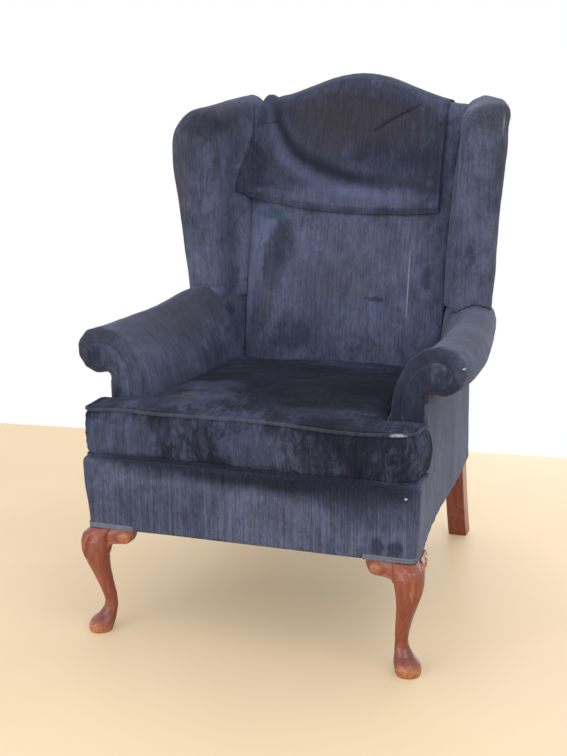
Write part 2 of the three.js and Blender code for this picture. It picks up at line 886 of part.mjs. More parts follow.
// Cabriole curve from the foot to the knee: height, outward shift, half width, squareness
const legStations = [
  { upShare: 0, outShare: 0.93, halfShare: 0.8, power: 2 },
  { upShare: 0.014, outShare: 0.93, halfShare: 0.87, power: 2 },
  { upShare: 0.06, outShare: 0.87, halfShare: 0.94, power: 2 },
  { upShare: 0.106, outShare: 0.7, halfShare: 0.9, power: 2 },
  { upShare: 0.157, outShare: 0.33, halfShare: 0.65, power: 2 },
  { upShare: 0.217, outShare: 0.09, halfShare: 0.5, power: 2.1 },
  { upShare: 0.276, outShare: 0.07, halfShare: 0.45, power: 2.1 },
  { upShare: 0.336, outShare: 0.17, halfShare: 0.48, power: 2.2 },
  { upShare: 0.465, outShare: 0.5, halfShare: 0.56, power: 2.3 },
  { upShare: 0.594, outShare: 0.8, halfShare: 0.685, power: 2.4 },
  { upShare: 0.659, outShare: 0.92, halfShare: 0.78, power: 2.5 },
  { upShare: 0.719, outShare: 1, halfShare: 0.87, power: 2.6 },
  { upShare: 0.788, outShare: 0.99, halfShare: 0.96, power: 2.8 },
  { upShare: 0.876, outShare: 0.94, halfShare: 1, power: 3 },
  { upShare: 0.94, outShare: 0.78, halfShare: 0.97, power: 3.4 },
];
const kneeTopPower = 4;
const legBlockPower = 24;

function frontLeg(grow) {
  const rings = legStations.map(({ upShare, outShare, halfShare, power }) => {
    const shift = kneeOut * outShare * Math.SQRT1_2;
    const half = kneeRadius * halfShare + grow;
    return superRing(legAxisX + shift, legAxisY - shift, upShare * legHeight, half, power, false);
  });
  const kneeTop = legHeight - clearance * 3;
  const topShift = kneeTopOut * Math.SQRT1_2;
  const topHalf = kneeTopRadius + grow;
  rings.push(superRing(legAxisX + topShift, legAxisY - topShift, kneeTop, topHalf, kneeTopPower, true));
  const blockHalf = legBlockSize / 2 + grow;
  rings.push(superRing(legBlockX, legBlockY, kneeTop + clearance, blockHalf, legBlockPower, true));
  rings.push(superRing(legBlockX, legBlockY, railTopZ + grow, blockHalf, legBlockPower, true));
  return loft(rings);
}

// A carved scroll ear that fills the corner between the knee and the frame
function earProfile() {
  const earDrop = legHeight * earDropShare;
  const ballX = earReach * earBallReachShare;
  const throatX = earReach * earThroatShare;
  const ballBottom = -earTip - earBallRadius * 2;
  const shape = new THREE.Shape();
  shape.moveTo(0, 0);
  shape.lineTo(earReach, 0);
  shape.lineTo(earReach, -earTip);
  shape.quadraticCurveTo(ballX + earBallRadius, ballBottom, ballX, ballBottom);
  shape.quadraticCurveTo(throatX, ballBottom, throatX, ballBottom - earTip);
  shape.quadraticCurveTo(0, -earDrop * (1 - earThroatShare), 0, -earDrop);
  return shape;
}

function ear() {
  return new THREE.ExtrudeGeometry(earProfile(), {
    depth: earThickness, bevelEnabled: false, curveSegments: 5,
  });
}

const earRoot = legAxisX + kneeOut * Math.SQRT1_2 - kneeRadius - clearance + overrun;
const earTopZ = legHeight - clearance * 2;

function seated(geometry, place) {
  const positions = Array.from(geometry.getAttribute('position').array);
  for (let i = 0; i < positions.length; i += 3) {
    const [x, y, z] = place(positions[i], positions[i + 1], positions[i + 2]);
    positions[i] = x;
    positions[i + 1] = y;
    positions[i + 2] = z;
  }
  const bare = new THREE.BufferGeometry();
  bare.setAttribute('position', new THREE.Float32BufferAttribute(positions, 3));
  if (geometry.getIndex()) {
    bare.setIndex(geometry.getIndex());
  }
  const merged = mergeVertices(bare, mergeTolerance);
  const corners = Array.from(merged.getAttribute('position').array);
  return closedGeometry(corners, Array.from(merged.getIndex().array));
}

function frontEar() {
  const placed = seated(ear(), (u, v, w) => {
    const y = earSetback + w;
    return [earRoot - u, y, seatLevel(earTopZ + v, y)];
  });
  return carve(placed, [frontLeg(clearance)]);
}

function sideEar() {
  const root = legAxisY - kneeOut * Math.SQRT1_2 + kneeRadius + clearance - overrun;
  const placed = seated(ear(), (u, v, w) => {
    const y = root + u;
    const x = outerSide(y) - earSetback - w;
    return [x, y, seatLevel(earTopZ + v, y)];
  });
  return carve(placed, [frontLeg(clearance)]);
}

// Seat border, deck, dust cover and springs
function borderPlan(inset, flare) {
  const side = outerSide(borderDepth) - inset;
  const wide = seatHalfWidth - inset + flare;
  const rear = borderDepth - clearance;
  const radius = borderCornerRadius;
  return roundedOutline([
    { at: [-side, rear], radius: 0 },
    { at: [-wide, inset], radius },
    { at: [wide, inset], radius },
    { at: [side, rear], radius: 0 },
  ], cornerSteps);
}

const borderEdgeShares = [0, 0.5, 0.8, 1];
const borderTuckShare = 0.8;

function frontBorder() {
  const edgeZ = deckZ - borderEdgeRadius;
  const gimpTopZ = legHeight + gimpHeight + clearance;
  const rings = [
    [legHeight, 0, 0],
    [gimpTopZ, 0, 0],
    [(gimpTopZ + edgeZ) / 2, 0, borderFlare * borderFlareShare],
  ];
  borderEdgeShares.forEach((share) => {
    const inset = borderEdgeRadius * (1 - Math.sqrt(1 - share * share)) * borderTuckShare;
    rings.push([edgeZ + borderEdgeRadius * share, inset, borderFlare]);
  });
  const outer = loft(rings.map(([z, inset, flare]) => {
    return borderPlan(inset, flare).map(([x, y]) => [x, y, seatLevel(z, y)]);
  }));
  const innerHalf = seatHalfWidth - borderWall;
  const low = legHeight - overrun;
  const high = deckZ - borderLip;
  const sideShift = outerSide(borderDepth) - seatHalfWidth;
  const hollow = loft([low, high].map((z) => [
    [-innerHalf, borderWall, seatLevel(z, borderWall)],
    [innerHalf, borderWall, seatLevel(z, borderWall)],
    [innerHalf + sideShift, borderDepth + overrun, seatLevel(z, borderDepth)],
    [-innerHalf - sideShift, borderDepth + overrun, seatLevel(z, borderDepth)],
  ]));
  return carve(outer, [hollow]);
}

const deckRearY = backFace(armCushionZ) - clearance;

function seatDeck() {
  const front = borderDepth;
  const ys = armStationShares.map((share) => armFrontY + share * armLength).filter((y) => y < deckRearY);
  ys[0] = front;
  ys.push(deckRearY);
  const right = ys.map((y) => [innerFace(y) - clearance, y]);
  const outline = [...right, ...right.map(([x, y]) => [-x, y]).reverse()];
  return slopedPrism(outline, deckZ - deckThickness, deckZ);
}

function dustCover() {
  const front = borderWall + dustCoverInset;
  const rear = rearFace(railTopZ) - panelThickness - dustCoverInset;
  const right = (y) => outerSide(y) - borderWall - dustCoverInset;
  const outline = [
    [right(front), front],
    [right(rear), rear],
    [-right(rear), rear],
    [-right(front), front],
  ];
  const sheet = slopedPrism(outline, legHeight, legHeight + dustCoverThickness);
  const ring = (z) => rectangle(legBlockX, seatHalfWidth, -overrun, legBlockY, z);
  const corner = loft([legHeight - seatTaper, deckZ].map(ring));
  const legs = [frontLeg(clearance), postGeometry(clearance), corner];
  return carve(sheet, [...legs, ...legs.map(mirrored)]);
}

function seatSpring(index) {
  const startY = legBlockFrontY + railThickness / 2;
  const endY = rearRailRearY - railThickness / 2;
  const endZ = railTopZ + clearance + springWire / 2;
  const crownZ = deckZ - deckThickness - clearance - springWire / 2;
  const centreX = (index - (springCount - 1) / 2) * springSpread;
  const points = [];
  const steps = springLoops * springPointsPerLoop;
  for (let i = 0; i <= steps; i++) {
    const share = i / steps;
    const y = lerp(startY, endY, share);
    const arch = Math.sin(share * Math.PI) ** springArchPower;
    const x = centreX + springSwing * Math.sin(share * springLoops * Math.PI * 2);
    points.push(new THREE.Vector3(x, y, seatLevel(lerp(endZ, crownZ, arch), y)));
  }
  const corners = [];
  for (let i = 0; i < springSides; i++) {
    const angle = (i / springSides) * Math.PI * 2;
    corners.push(new THREE.Vector2(Math.cos(angle), Math.sin(angle)).multiplyScalar(springWire / 2));
  }
  const geometry = new THREE.ExtrudeGeometry(new THREE.Shape(corners), {
    steps: springLoops * springStepsPerLoop,
    bevelEnabled: false,
    extrudePath: new THREE.CatmullRomCurve3(points),
  });
  return seated(geometry, (x, y, z) => [x, y, z]);
}

function gimp() {
  const reach = seatHalfWidth - gimpReach;
  const side = gimpSideReach;
  const strip = (inset) => roundedOutline([
    { at: [reach, inset], radius: 0 },
    { at: [seatHalfWidth - inset, inset], radius: borderCornerRadius },
    { at: [outerSide(side) - inset, side], radius: 0 },
  ], cornerSteps);
  const outer = strip(-clearance - gimpThickness);
  const inner = strip(-clearance).reverse();
  const outline = [...outer, ...inner];
  return slopedPrism(outline, legHeight, legHeight + gimpHeight);
}

// Outside panels
const backHalfShares = [0.17, 0.35, 0.52, 0.7, 0.86, 1];
const backStationShares = [...backHalfShares.map((share) => -share).reverse(), 0, ...backHalfShares];

function outsideBack(grow, over) {
  const bottom = seatLevel(legHeight, seatDepth);
  const lowest = camelLine(backOuterHalfWidth) - backPanelDrop;
  return loft(backStationShares.map((share) => {
    const top = camelLine(share * backOuterHalfWidth) - backPanelDrop;
    const levels = levelsBetween(bottom, lowest);
    levels[levels.length - 1] = top;
    const front = [];
    const rear = [];
    levels.forEach((z, i) => {
      const x = share * (backOuterWidth(z) + over);
      const atEnd = i === levels.length - 1;
      const reach = atEnd ? grow : 0;
      const drop = i === 0 ? over : 0;
      front.push([x, backLine(z) - panelThickness - grow, z + reach - drop]);
      rear.unshift([x, backLine(z) + over, z + reach - drop]);
    });
    return [...front, ...rear];
  }));
}

function outsideArm(grow, over) {
  const end = rearFace(armPanelTopZ) + overrun;
  const start = armFrontY - grow;
  const panel = loft([start, end].map((y) => {
    const low = seatLevel(legHeight, y) - over;
    const high = armPanelTopZ + grow;
    const outer = outerSide(y) + over;
    const inner = outerSide(y) - panelThickness - grow;
    return [[inner, y, low], [outer, y, low], [outer, y, high], [inner, y, high]];
  }));
  return grow ? panel : carve(panel, [outsideBack(clearance, backSweep), postGeometry(clearance)]);
}

const wingPanelShares = [0, 0.15, 0.3, 0.45, 0.6, 0.7, 0.78, 0.85, 0.91, 0.96, 1];

function outsideWing(grow, over) {
  const start = wingOuterRadius * wingPanelInsetShare;
  const bottom = armTop + clearance * 2;
  const top = wingTop - wingCapRadius;
  const heights = wingPanelShares.map((share) => lerp(bottom, top, share));
  heights[0] -= grow;
  heights[heights.length - 1] += grow;
  const panel = loft(heights.map((z) => {
    const { rear, frontOuter } = wingCorners(z);
    const along = rear.clone().sub(frontOuter).normalize();
    const inward = new THREE.Vector2(-along.y, along.x);
    const from = frontOuter.clone().addScaledVector(along, start - grow);
    const to = rear.clone().addScaledVector(along, overrun);
    const deep = panelThickness + grow;
    return [
      from.clone().addScaledVector(inward, -over),
      to.clone().addScaledVector(inward, -over),
      to.clone().addScaledVector(inward, deep),
      from.clone().addScaledVector(inward, deep),
    ].map((p) => wingSloped([p.x, p.y, z]));
  }));
  return grow ? panel : carve(panel, [outsideBack(clearance, backSweep)]);
}

// The space behind the padding and between the stiles, where the back rails and webbing sit
function backHollow(halfWidth, high = topRailBottomZ - clearance) {
  const rear = rearFace(high) + seatDepth;
  return loft([-halfWidth, halfWidth].map((x) => [
    ...levelsBetween(legHeight, high).map((z) => [x, postFront(z) - clearance, z]),
    [x, rear, high],
    [x, rear, legHeight],
  ]));
}

// Padded insides
function insideArm() {
  const hollowInner = (y) => lerp(innerFace(y), outerSide(y), armPadShare);
  const hollowStart = armPostFrontY - clearance;
  const stations = [hollowStart, (hollowStart + armBackY) / 2, armBackY, armEndY + overrun];
  const hollow = loft(stations.map((y) => [
    [hollowInner(y), y, armBottomZ - overrun],
    [outerSide(y) + overrun, y, armBottomZ - overrun],
    [outerSide(y) + overrun, y, armPanelTopZ],
    [outerSide(y), y, armPanelTopZ],
    [hollowInner(y), y, armRailBottomZ - clearance],
  ]));
  const underCut = loft([armFrontY - overrun, armEndY + overrun].map((y) => [
    [0, y, seatLevel(armBottomZ, y) - seatHalfWidth],
    [seatHalfWidth * 2, y, seatLevel(armBottomZ, y) - seatHalfWidth],
    [seatHalfWidth * 2, y, seatLevel(armBottomZ, y)],
    [0, y, seatLevel(armBottomZ, y)],
  ]));
  return carve(armVolume(0), [
    underCut,
    hollow,
    backHollow(postCentreX(armCushionZ)),
    outsideArm(clearance, overrun),
    outsideBack(clearance, backSweep),
    armPost(clearance),
    armRail(clearance),
    wingPost(clearance),
    postGeometry(clearance),
  ]);
}

function insideWing() {
  return carve(wingVolume(0), [
    backHollow(postCentreX(postTopZ), postTopZ + clearance),
    armVolume(clearance),
    outsideWing(clearance, overrun),
    outsideBack(clearance, backSweep),
    postGeometry(clearance),
    wingPost(clearance),
    wingTopRail(clearance),
    topRail(clearance),
  ]);
}

function facingOutline(bottom) {
  const inner = innerFace(armFrontY) + facingInset;
  const radius = rollRadius - facingInset;
  const crestX = rollOuter(armFrontY) - rollRadius - facingShift;
  const centreZ = rollZ - facingDrop;
  const top = centreZ + radius;
  const wall = outerSide(armFrontY) - facingSideInset;
  const slopeFrom = armCushionZ + facingInset;
  const power = armSlopePowers[0];
  const outline = [[inner, bottom]];
  for (let i = 0; i <= slopeSteps; i++) {
    const across = Math.cos(((i / slopeSteps) * Math.PI) / 2);
    const up = Math.max(0, 1 - across ** power) ** (1 / power);
    outline.push([crestX - (crestX - inner) * across, slopeFrom + (top - slopeFrom) * up]);
  }
  const lastAngle = -Math.acos(clamp((wall + armFilletReach - crestX) / radius, ...rollEndShares));
  for (let i = 1; i <= rollSteps; i++) {
    const angle = lerp(Math.PI / 2, lastAngle, i / rollSteps);
    outline.push([crestX + radius * Math.cos(angle), centreZ + radius * Math.sin(angle)]);
  }
  const underside = centreZ + radius * Math.sin(lastAngle);
  outline.push([wall, underside - armFilletReach * 2], [wall, bottom]);
  return outline;
}

function armFacing() {
  const y = armFrontY - facingThickness;
  const outline = facingOutline(seatLevel(deckZ, y) + clearance);
  return loft([
    insetOutline(outline, facingRound).map(([x, z]) => [x, y, z]),
    outline.map(([x, z]) => [x, y + facingRound, z]),
    outline.map(([x, z]) => [x, armFrontY, z]),
  ]);
}

const padBottomZ = deckZ - borderLip;

const padHalfShares = [0.2, 0.4, 0.58, 0.74, 0.88, 0.97, 1];
const padStationShares = [...padHalfShares.map((share) => -share).reverse(), 0, ...padHalfShares];
const padEdgePower = 8;
const padFaceLevels = 12;
const padArchSteps = 8;

function insideBack() {
  const bottomZ = seatLevel(padBottomZ, backFace(padBottomZ));
  const volume = loft(padStationShares.map((share) => {
    const edgeDraw = backEdgeDraw * Math.abs(share) ** padEdgePower;
    const width = (z) => share * creaseX(z);
    const archZ = camelLine(width(backShoulderZ)) - backEdgeRise;
    const levels = [];
    for (let i = 0; i <= padFaceLevels; i++) {
      levels.push(lerp(bottomZ, archZ, i / padFaceLevels));
    }
    const ring = levels.map((z) => {
      const up = clamp((z - armCushionZ) / (archZ - armCushionZ), 0, 1);
      const swell = Math.sin(up * Math.PI) * (1 - share ** 2);
      return [width(z), backFace(z) + edgeDraw - backCrown * swell, z];
    });
    const front = backFace(archZ) + edgeDraw;
    const rear = rearFace(archZ);
    for (let i = 1; i < padArchSteps; i++) {
      const angle = (i / padArchSteps) * Math.PI;
      const z = archZ + backEdgeRise * Math.sin(angle);
      ring.push([width(z), lerp(front, rear, (1 - Math.cos(angle)) / 2), z]);
    }
    ring.push([width(archZ), rear, archZ]);
    levels.slice(0, -1).reverse().forEach((z) => ring.push([width(z), rearFace(z) + overrun, z]));
    return ring;
  }));
  const sides = [wingVolume(clearance), armVolume(clearance), postGeometry(clearance)];
  return carve(volume, [
    backHollow(seatHalfWidth),
    topRail(clearance),
    outsideBack(clearance, backSweep),
    ...sides,
    ...sides.map(mirrored),
  ]);
}

// Seat cushion: plan outline with the front T, run counter-clockwise from the front left
const cushionRear = backFace(armCushionZ) - softEase;
const cushionEarBack = armFrontY - facingThickness - softEase;

function cushionCorners(inset) {
  const wide = seatHalfWidth + cushionOverhang - inset;
  const ys = armStationShares.map((share) => armFrontY + share * armLength);
  const bodyYs = ys.filter((y) => y > armFrontY && y < cushionRear - cushionRearRadius);
  const right = [
    { at: [wide, cushionFront + inset], radius: cushionCornerRadius },
    { at: [wide, cushionEarBack - inset], radius: cushionEarRadius },
    { at: [innerFace(armFrontY) - softEase - inset, cushionEarBack - inset], radius: 0 },
    ...bodyYs.map((y) => ({ at: [innerFace(y) - softEase - inset, y], radius: 0 })),
    { at: [innerFace(cushionRear) - softEase - inset, cushionRear - inset], radius: cushionRearRadius },
  ];
  const left = right.map(({ at, radius }) => ({ at: [-at[0], at[1]], radius })).reverse();
  return [...right, ...left];
}

function cushionOutline(inset) {
  return roundedOutline(cushionCorners(inset), cornerSteps);
}

const cushionBottomZ = deckZ + clearance;
const cushionTopZ = cushionBottomZ + cushionThickness;
const pipingLowZ = cushionBottomZ + pipingRadius;
const pipingHighZ = cushionTopZ - pipingRadius;
const crownAcrossPower = 2.6;
const crownAlongPower = 3;

function cushionSwell(x, y) {
  const middle = (cushionFront + cushionRear) / 2;
  const half = (cushionRear - cushionFront) / 2;
  const across = clamp(Math.abs(x) / (seatHalfWidth - borderWall), 0, 1);
  const along = clamp(Math.abs(y - middle) / half, 0, 1);
  return (1 - across ** crownAcrossPower) * (1 - along ** crownAlongPower);
}

const cushionWall = [
  { upShare: 0.1, drawShare: 0.6 },
  { upShare: 0.32, drawShare: 0.2 },
  { upShare: 0.5, drawShare: 0 },
  { upShare: 0.68, drawShare: 0.2 },
  { upShare: 0.9, drawShare: 0.6 },
];
const cushionTopShares = [0.95, 0.86, 0.72, 0.54, 0.34, 0.14];
const cushionBottomShare = 0.3;

function seatCushion() {
  const rim = cushionOutline(0);
  const starY = cushionEarBack - cushionEarRadius;
  const edge = (inset, z) => insetOutline(rim, inset).map(([x, y]) => [x, y, seatLevel(z, y)]);
  const disc = (share, z, swell) => insetOutline(rim, pipingGroove).map(([x, y]) => {
    const px = x * share;
    const py = lerp(starY, y, share);
    return [px, py, seatLevel(z, py) + swell * cushionSwell(px, py)];
  });
  return loft([
    disc(cushionBottomShare, cushionBottomZ, 0),
    edge(pipingGroove, cushionBottomZ),
    edge(pipingGroove, pipingLowZ + pipingRadius),
    ...cushionWall.map(({ upShare, drawShare }) => {
      return edge(cushionDrawIn * drawShare, lerp(pipingLowZ, pipingHighZ, upShare));
    }),
    edge(pipingGroove, pipingHighZ - pipingRadius),
    edge(pipingGroove, cushionTopZ),
    ...cushionTopShares.map((share) => disc(share, cushionTopZ, cushionCrown)),
  ]);
}

function cushionPiping(z) {
  const centres = insetOutline(cushionOutline(0), pipingRadius);
  const radius = pipingRadius - clearance;
  const rings = centres.map((here, i) => {
    const before = centres[(i + centres.length - 1) % centres.length];
    const after = centres[(i + 1) % centres.length];
    const along = new THREE.Vector2(after[0] - before[0], after[1] - before[1]).normalize();
    const ring = [];
    for (let k = 0; k < pipingSides; k++) {
      const angle = ((k + 0.5) / pipingSides) * Math.PI * 2;
      const x = here[0] + along.y * radius * Math.cos(angle);
      const y = here[1] - along.x * radius * Math.cos(angle);
      ring.push([x, y, seatLevel(z, y) + radius * Math.sin(angle)]);
    }
    return ring;
  });
  return loft(rings, true);
}

// Head cover: a cloth laid over the top of the back, hanging down its front
const coverLeftX = wingCorners(coverHemLeft).bulge.x - coverWingGap;

function coverSurface(x, z) {
  const side = Math.abs(x);
  const level = Math.min(z, wingTop - wingShoulderDrop);
  const { crease, bulge } = wingCorners(level);
  const back = backFace(z);
  if (side <= crease.x) return back;
  const slope = (crease.y - bulge.y) / (bulge.x - crease.x);
  return back - (side - crease.x) * slope;
}

function coverFold(x, z) {
  const share = clamp((x + coverLeftX) / (coverLeftX + coverRightX), 0, 1);
  const hemZ = coverHemLeft - coverHemDip;
  const sweep = Math.sin((share * Math.PI) / 2) ** coverSwagPower;
  const swag = lerp(backShoulderZ, hemZ + coverSwagRise, sweep);
  const across = Math.sqrt(Math.sin(Math.PI * clamp(share * coverSwagShare, 0, 1)));
  const fold = coverFoldDepth * across * Math.exp(-(((z - swag) / coverFoldWidth) ** 2));
  const fade = clamp((swag - z) / (camelRise * 2), 0, 1);
  return fold + coverRippleDepth * fade * (1 + Math.sin(share * Math.PI * coverRipples));
}

const coverColumns = 22;
const coverFrontRows = 13;
const coverArchRows = 7;
const coverRearRows = 3;

function headCover() {
  const rings = [];
  for (let i = 0; i <= coverColumns; i++) {
    const share = i / coverColumns;
    const hemX = lerp(-coverLeftX, coverRightX, share);
    const hemZ = coverHemLeft - coverHemDip * Math.sin(share * Math.PI * coverHemShare) ** coverHemPower;
    const topX = Math.max(hemX, -coverTopLeftX);
    const archZ = camelLine(topX) - backEdgeRise;
    const inner = [];
    const outer = [];
    for (let r = 0; r <= coverFrontRows; r++) {
      const up = r / coverFrontRows;
      const z = lerp(hemZ, archZ, up);
      const x = lerp(hemX, topX, up ** 2);
      const crown = backCrown * Math.max(0, 1 - (x / creaseHalfWidth) ** 2);
      const y = coverSurface(x, z) - coverLift - crown - coverFold(x, z);
      inner.push([x, y, z]);
      outer.push([x, y - coverThickness, z]);
    }
    const front = inner[coverFrontRows][1];
    const rear = rearFace(archZ + backEdgeRise) + coverLift;
    const middle = (front + rear) / 2;
    const half = (rear - front) / 2;
    const rise = backEdgeRise + coverLift;
    for (let r = 1; r <= coverArchRows; r++) {
      const angle = (r / coverArchRows) * Math.PI;
      const point = (extra) => [
        topX,
        middle - (half + extra) * Math.cos(angle),
        archZ + (rise + extra) * Math.sin(angle),
      ];
      inner.push(point(0));
      outer.push(point(coverThickness));
    }
    for (let r = 1; r <= coverRearRows; r++) {
      const z = archZ - (coverRearDrop * r) / coverRearRows;
      inner.push([topX, rear, z]);
      outer.push([topX, rear + coverThickness, z]);
    }
    rings.push([...inner, ...outer.reverse()]);
  }
  return loft(rings);
}

// Assembly
const chair = new THREE.Group();

function add(name, geometry, material) {
  geometry.computeVertexNormals();
  const mesh = new THREE.Mesh(geometry, material);
  mesh.name = name;
  chair.add(mesh);
}

function addPair(name, geometry, material) {
  add(`${name}_right`, geometry, material);
  add(`${name}_left`, mirrored(geometry), material);
}

add('front_seat_rail', frontRail(), materials.beech);
add('rear_seat_rail', rearRail(), materials.beech);
addPair('side_seat_rail', sideRail(), materials.beech);
addPair('front_corner_block', frontCornerBlock(), materials.beech);
addPair('rear_corner_block', rearCornerBlock(), materials.beech);
addPair('rear_leg_and_stile', postGeometry(0), materials.mahogany);
addPair('front_leg', frontLeg(0), materials.mahogany);
addPair('front_knee_ear', frontEar(), materials.mahogany);
addPair('side_knee_ear', sideEar(), materials.mahogany);
addPair('arm_post', armPost(0), materials.beech);
addPair('arm_rail', armRail(0), materials.beech);
addPair('wing_post', wingPost(0), materials.beech);
addPair('wing_top_rail', wingTopRail(0), materials.beech);
add('back_top_rail', topRail(0), materials.beech);
add('back_lower_rail', lowerRail(0), materials.beech);
for (let i = 0; i < backStrapCount; i++) {
  add(`back_webbing_${i + 1}`, backStrap(i), materials.jute);
}
for (let i = 0; i < springCount; i++) {
  add(`seat_spring_${i + 1}`, seatSpring(i), materials.steel);
}
add('seat_deck', seatDeck(), materials.muslin);
add('dust_cover', dustCover(), materials.muslin);
add('front_border', frontBorder(), materials.velvet);
addPair('gimp', gimp(), materials.gimp);
addPair('outside_arm', outsideArm(0, 0), materials.velvet);
addPair('outside_wing', outsideWing(0, 0), materials.velvet);
add('outside_back', outsideBack(0, 0), materials.velvet);
addPair('inside_arm', insideArm(), materials.velvetShade);
addPair('arm_facing', armFacing(), materials.velvetFacing);
addPair('inside_wing', insideWing(), materials.velvetShade);
add('inside_back', insideBack(), materials.velvet);
add('seat_cushion', seatCushion(), materials.velvetCushion);
add('cushion_piping_top', cushionPiping(pipingHighZ), materials.velvetCushion);
add('cushion_piping_bottom', cushionPiping(pipingLowZ), materials.velvetCushion);
add('head_cover', headCover(), materials.headCloth);

const bounds = new THREE.Box3().setFromObject(chair);
const centre = bounds.getCenter(new THREE.Vector3());
chair.position.set(-centre.x, -centre.y, -bounds.min.z);

export default chair;
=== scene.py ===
"""Wingback armchair in worn navy velvet: upholstery, wood and cloth over the fixed frame."""

import json
import math
import random

import bmesh
import bpy
import numpy as np
from mathutils import Matrix, Vector, noise
from mathutils.bvhtree import BVHTree

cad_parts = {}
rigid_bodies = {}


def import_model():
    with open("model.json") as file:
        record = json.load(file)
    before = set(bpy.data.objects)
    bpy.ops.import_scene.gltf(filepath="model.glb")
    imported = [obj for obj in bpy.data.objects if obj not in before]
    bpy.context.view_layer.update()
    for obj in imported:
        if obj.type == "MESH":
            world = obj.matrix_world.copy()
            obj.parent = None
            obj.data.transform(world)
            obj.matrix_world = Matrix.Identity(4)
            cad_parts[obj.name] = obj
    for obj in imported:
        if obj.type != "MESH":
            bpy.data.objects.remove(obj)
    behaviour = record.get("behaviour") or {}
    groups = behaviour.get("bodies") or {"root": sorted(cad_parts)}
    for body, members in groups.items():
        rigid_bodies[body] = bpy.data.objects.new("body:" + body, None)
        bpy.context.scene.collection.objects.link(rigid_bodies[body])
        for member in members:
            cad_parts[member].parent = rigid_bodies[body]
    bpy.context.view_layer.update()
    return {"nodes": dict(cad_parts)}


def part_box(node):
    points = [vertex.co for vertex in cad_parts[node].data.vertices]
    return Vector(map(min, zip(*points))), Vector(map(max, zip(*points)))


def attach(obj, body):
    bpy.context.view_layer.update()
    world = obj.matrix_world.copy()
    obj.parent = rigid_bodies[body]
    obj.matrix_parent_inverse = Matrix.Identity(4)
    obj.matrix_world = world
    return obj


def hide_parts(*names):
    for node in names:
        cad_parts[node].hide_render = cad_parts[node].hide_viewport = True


bl_info = {
    "name": "Wingback Armchair",
    "version": (1, 0, 0),
    "blender": (4, 5, 0),
    "location": "3D View > Sidebar > Armchair",
    "description": "Upholsters a wingback armchair over its fixed frame",
    "category": "Object",
}

for leftover in list(bpy.data.objects):
    bpy.data.objects.remove(leftover)

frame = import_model()

SIDES = {"right": 1, "left": -1}
UP = Vector((0, 0, 1))
MM = 0.001
WELD_DISTANCE = 1e-5


def tint(code):
    """A linear colour from six hex digits."""
    values = [int(code[i:i + 2], 16) / 255 for i in (0, 2, 4)]
    return tuple(v / 12.92 if v <= 0.04045 else ((v + 0.055) / 1.055) ** 2.4 for v in values)


def colour_value(name, code, description):
    return bpy.props.FloatVectorProperty(
        name=name, description=description, default=tint(code), subtype="COLOR", min=0, max=1)


def length_value(name, default, description):
    return bpy.props.FloatProperty(
        name=name, description=description, default=default, min=0, soft_max=1, unit="LENGTH")


class ChairSizes(bpy.types.PropertyGroup):
    """Sizes of the upholstery that a user would change."""

    pad_grain: length_value("Pad grain", 5 * MM, "Spacing of the mesh of the padded pieces")
    wood_grain: length_value("Wood grain", 2 * MM, "Spacing of the mesh of the carved legs")
    piping_grain: length_value("Piping grain", 2 * MM, "Spacing of the mesh of the piping")
    cushion_swell: length_value("Cushion swell", 7 * MM, "Most that the filled cushion swells")
    welt_radius: length_value("Welt radius", 2.2 * MM, "Radius of the welt round the arm facings")
    hem_drop: length_value("Hem dip", 47 * MM, "How far the hem of the head cover dips")
    cover_thickness: length_value("Cover thickness", 2.2 * MM, "Thickness of the head cover")
    stitch_radius: length_value("Stitch radius", 0.45 * MM, "Radius of the sewing thread")


class ChairColours(bpy.types.PropertyGroup):
    """Colours of the upholstery, the wood and the stage."""

    velvet: colour_value("Velvet", "454b61", "Main colour of the velvet")
    velvet_light: colour_value("Velvet light", "646c89", "Velvet with its pile brushed up")
    # Also the base of the painted shade under the cushion, by the arms and in the head cover's
    # folds.
    velvet_dark: colour_value("Velvet dark", "242837", "Velvet with its pile crushed")
    velvet_soil: colour_value("Velvet soil", "48454b", "Soiled velvet")
    velvet_teal: colour_value("Velvet teal", "35495f", "Faded patch under the head cover's hem")
    cushion: colour_value("Cushion", "262a39", "Main colour of the seat cushion")
    cushion_light: colour_value("Cushion light", "4a536e", "Light streaks of the cushion")
    # Also painted shade on the cushion's top and on its lower piping.
    cushion_dark: colour_value("Cushion dark", "11131b", "Crushed pile of the cushion")
    cushion_soil: colour_value("Cushion soil", "4a4244", "Brownish worn place of the cushion")
    head_cloth: colour_value("Head cloth", "35384a", "Main colour of the head cover")
    head_cloth_light: colour_value("Head cloth light", "565d7b", "Its light streaks")
    head_cloth_soil: colour_value("Head cloth soil", "34323a", "Its soiled part")
    piping_worn: colour_value("Worn thread", "b3b0b2", "Threads showing where the pile is gone")
    gimp: colour_value("Gimp", "6f7583", "Braid over the front legs")
    mahogany: colour_value("Mahogany", "8b4530", "Polish of the legs")
    mahogany_dark: colour_value("Mahogany dark", "713424", "Dark grain and hollows of the legs")
    mahogany_worn: colour_value("Mahogany worn", "b77a45", "Worn wood of toes and scrolls")
    beech: colour_value("Beech", "b98f5e", "Hidden frame")
    jute: colour_value("Jute", "9c8258", "Webbing")
    dust_cloth: colour_value("Dust cloth", "232325", "Cloth under the seat")
    deck_cloth: colour_value("Deck cloth", "30333d", "Cloth under the cushion")
    steel: colour_value("Steel", "77797c", "Springs")
    floor: colour_value("Floor", "e6cfae", "Floor of the stage")
    wall: colour_value("Wall", "ffffff", "Wall of the stage")


# Tones mixed from the colours above.
MIXED = {
    "shadow": (("velvet_dark", 0.6),),
    # Painted shade in the head cover's fold hollows and creases.
    "fold": (("velvet_dark", 0.7),),
    "arm_soil": (("velvet_dark", 0.4), ("velvet_soil", 0.6)),
    "wing_soil": (("velvet_dark", 0.5), ("velvet_soil", 0.5)),
}


def col(name):
    """A colour of the panel or a mixed tone, by name."""
    colours = bpy.context.scene.chair_colours
    parts = MIXED.get(name, ((name, 1.0),))
    return tuple(sum(getattr(colours, part)[k] * share for part, share in parts) for k in range(3))


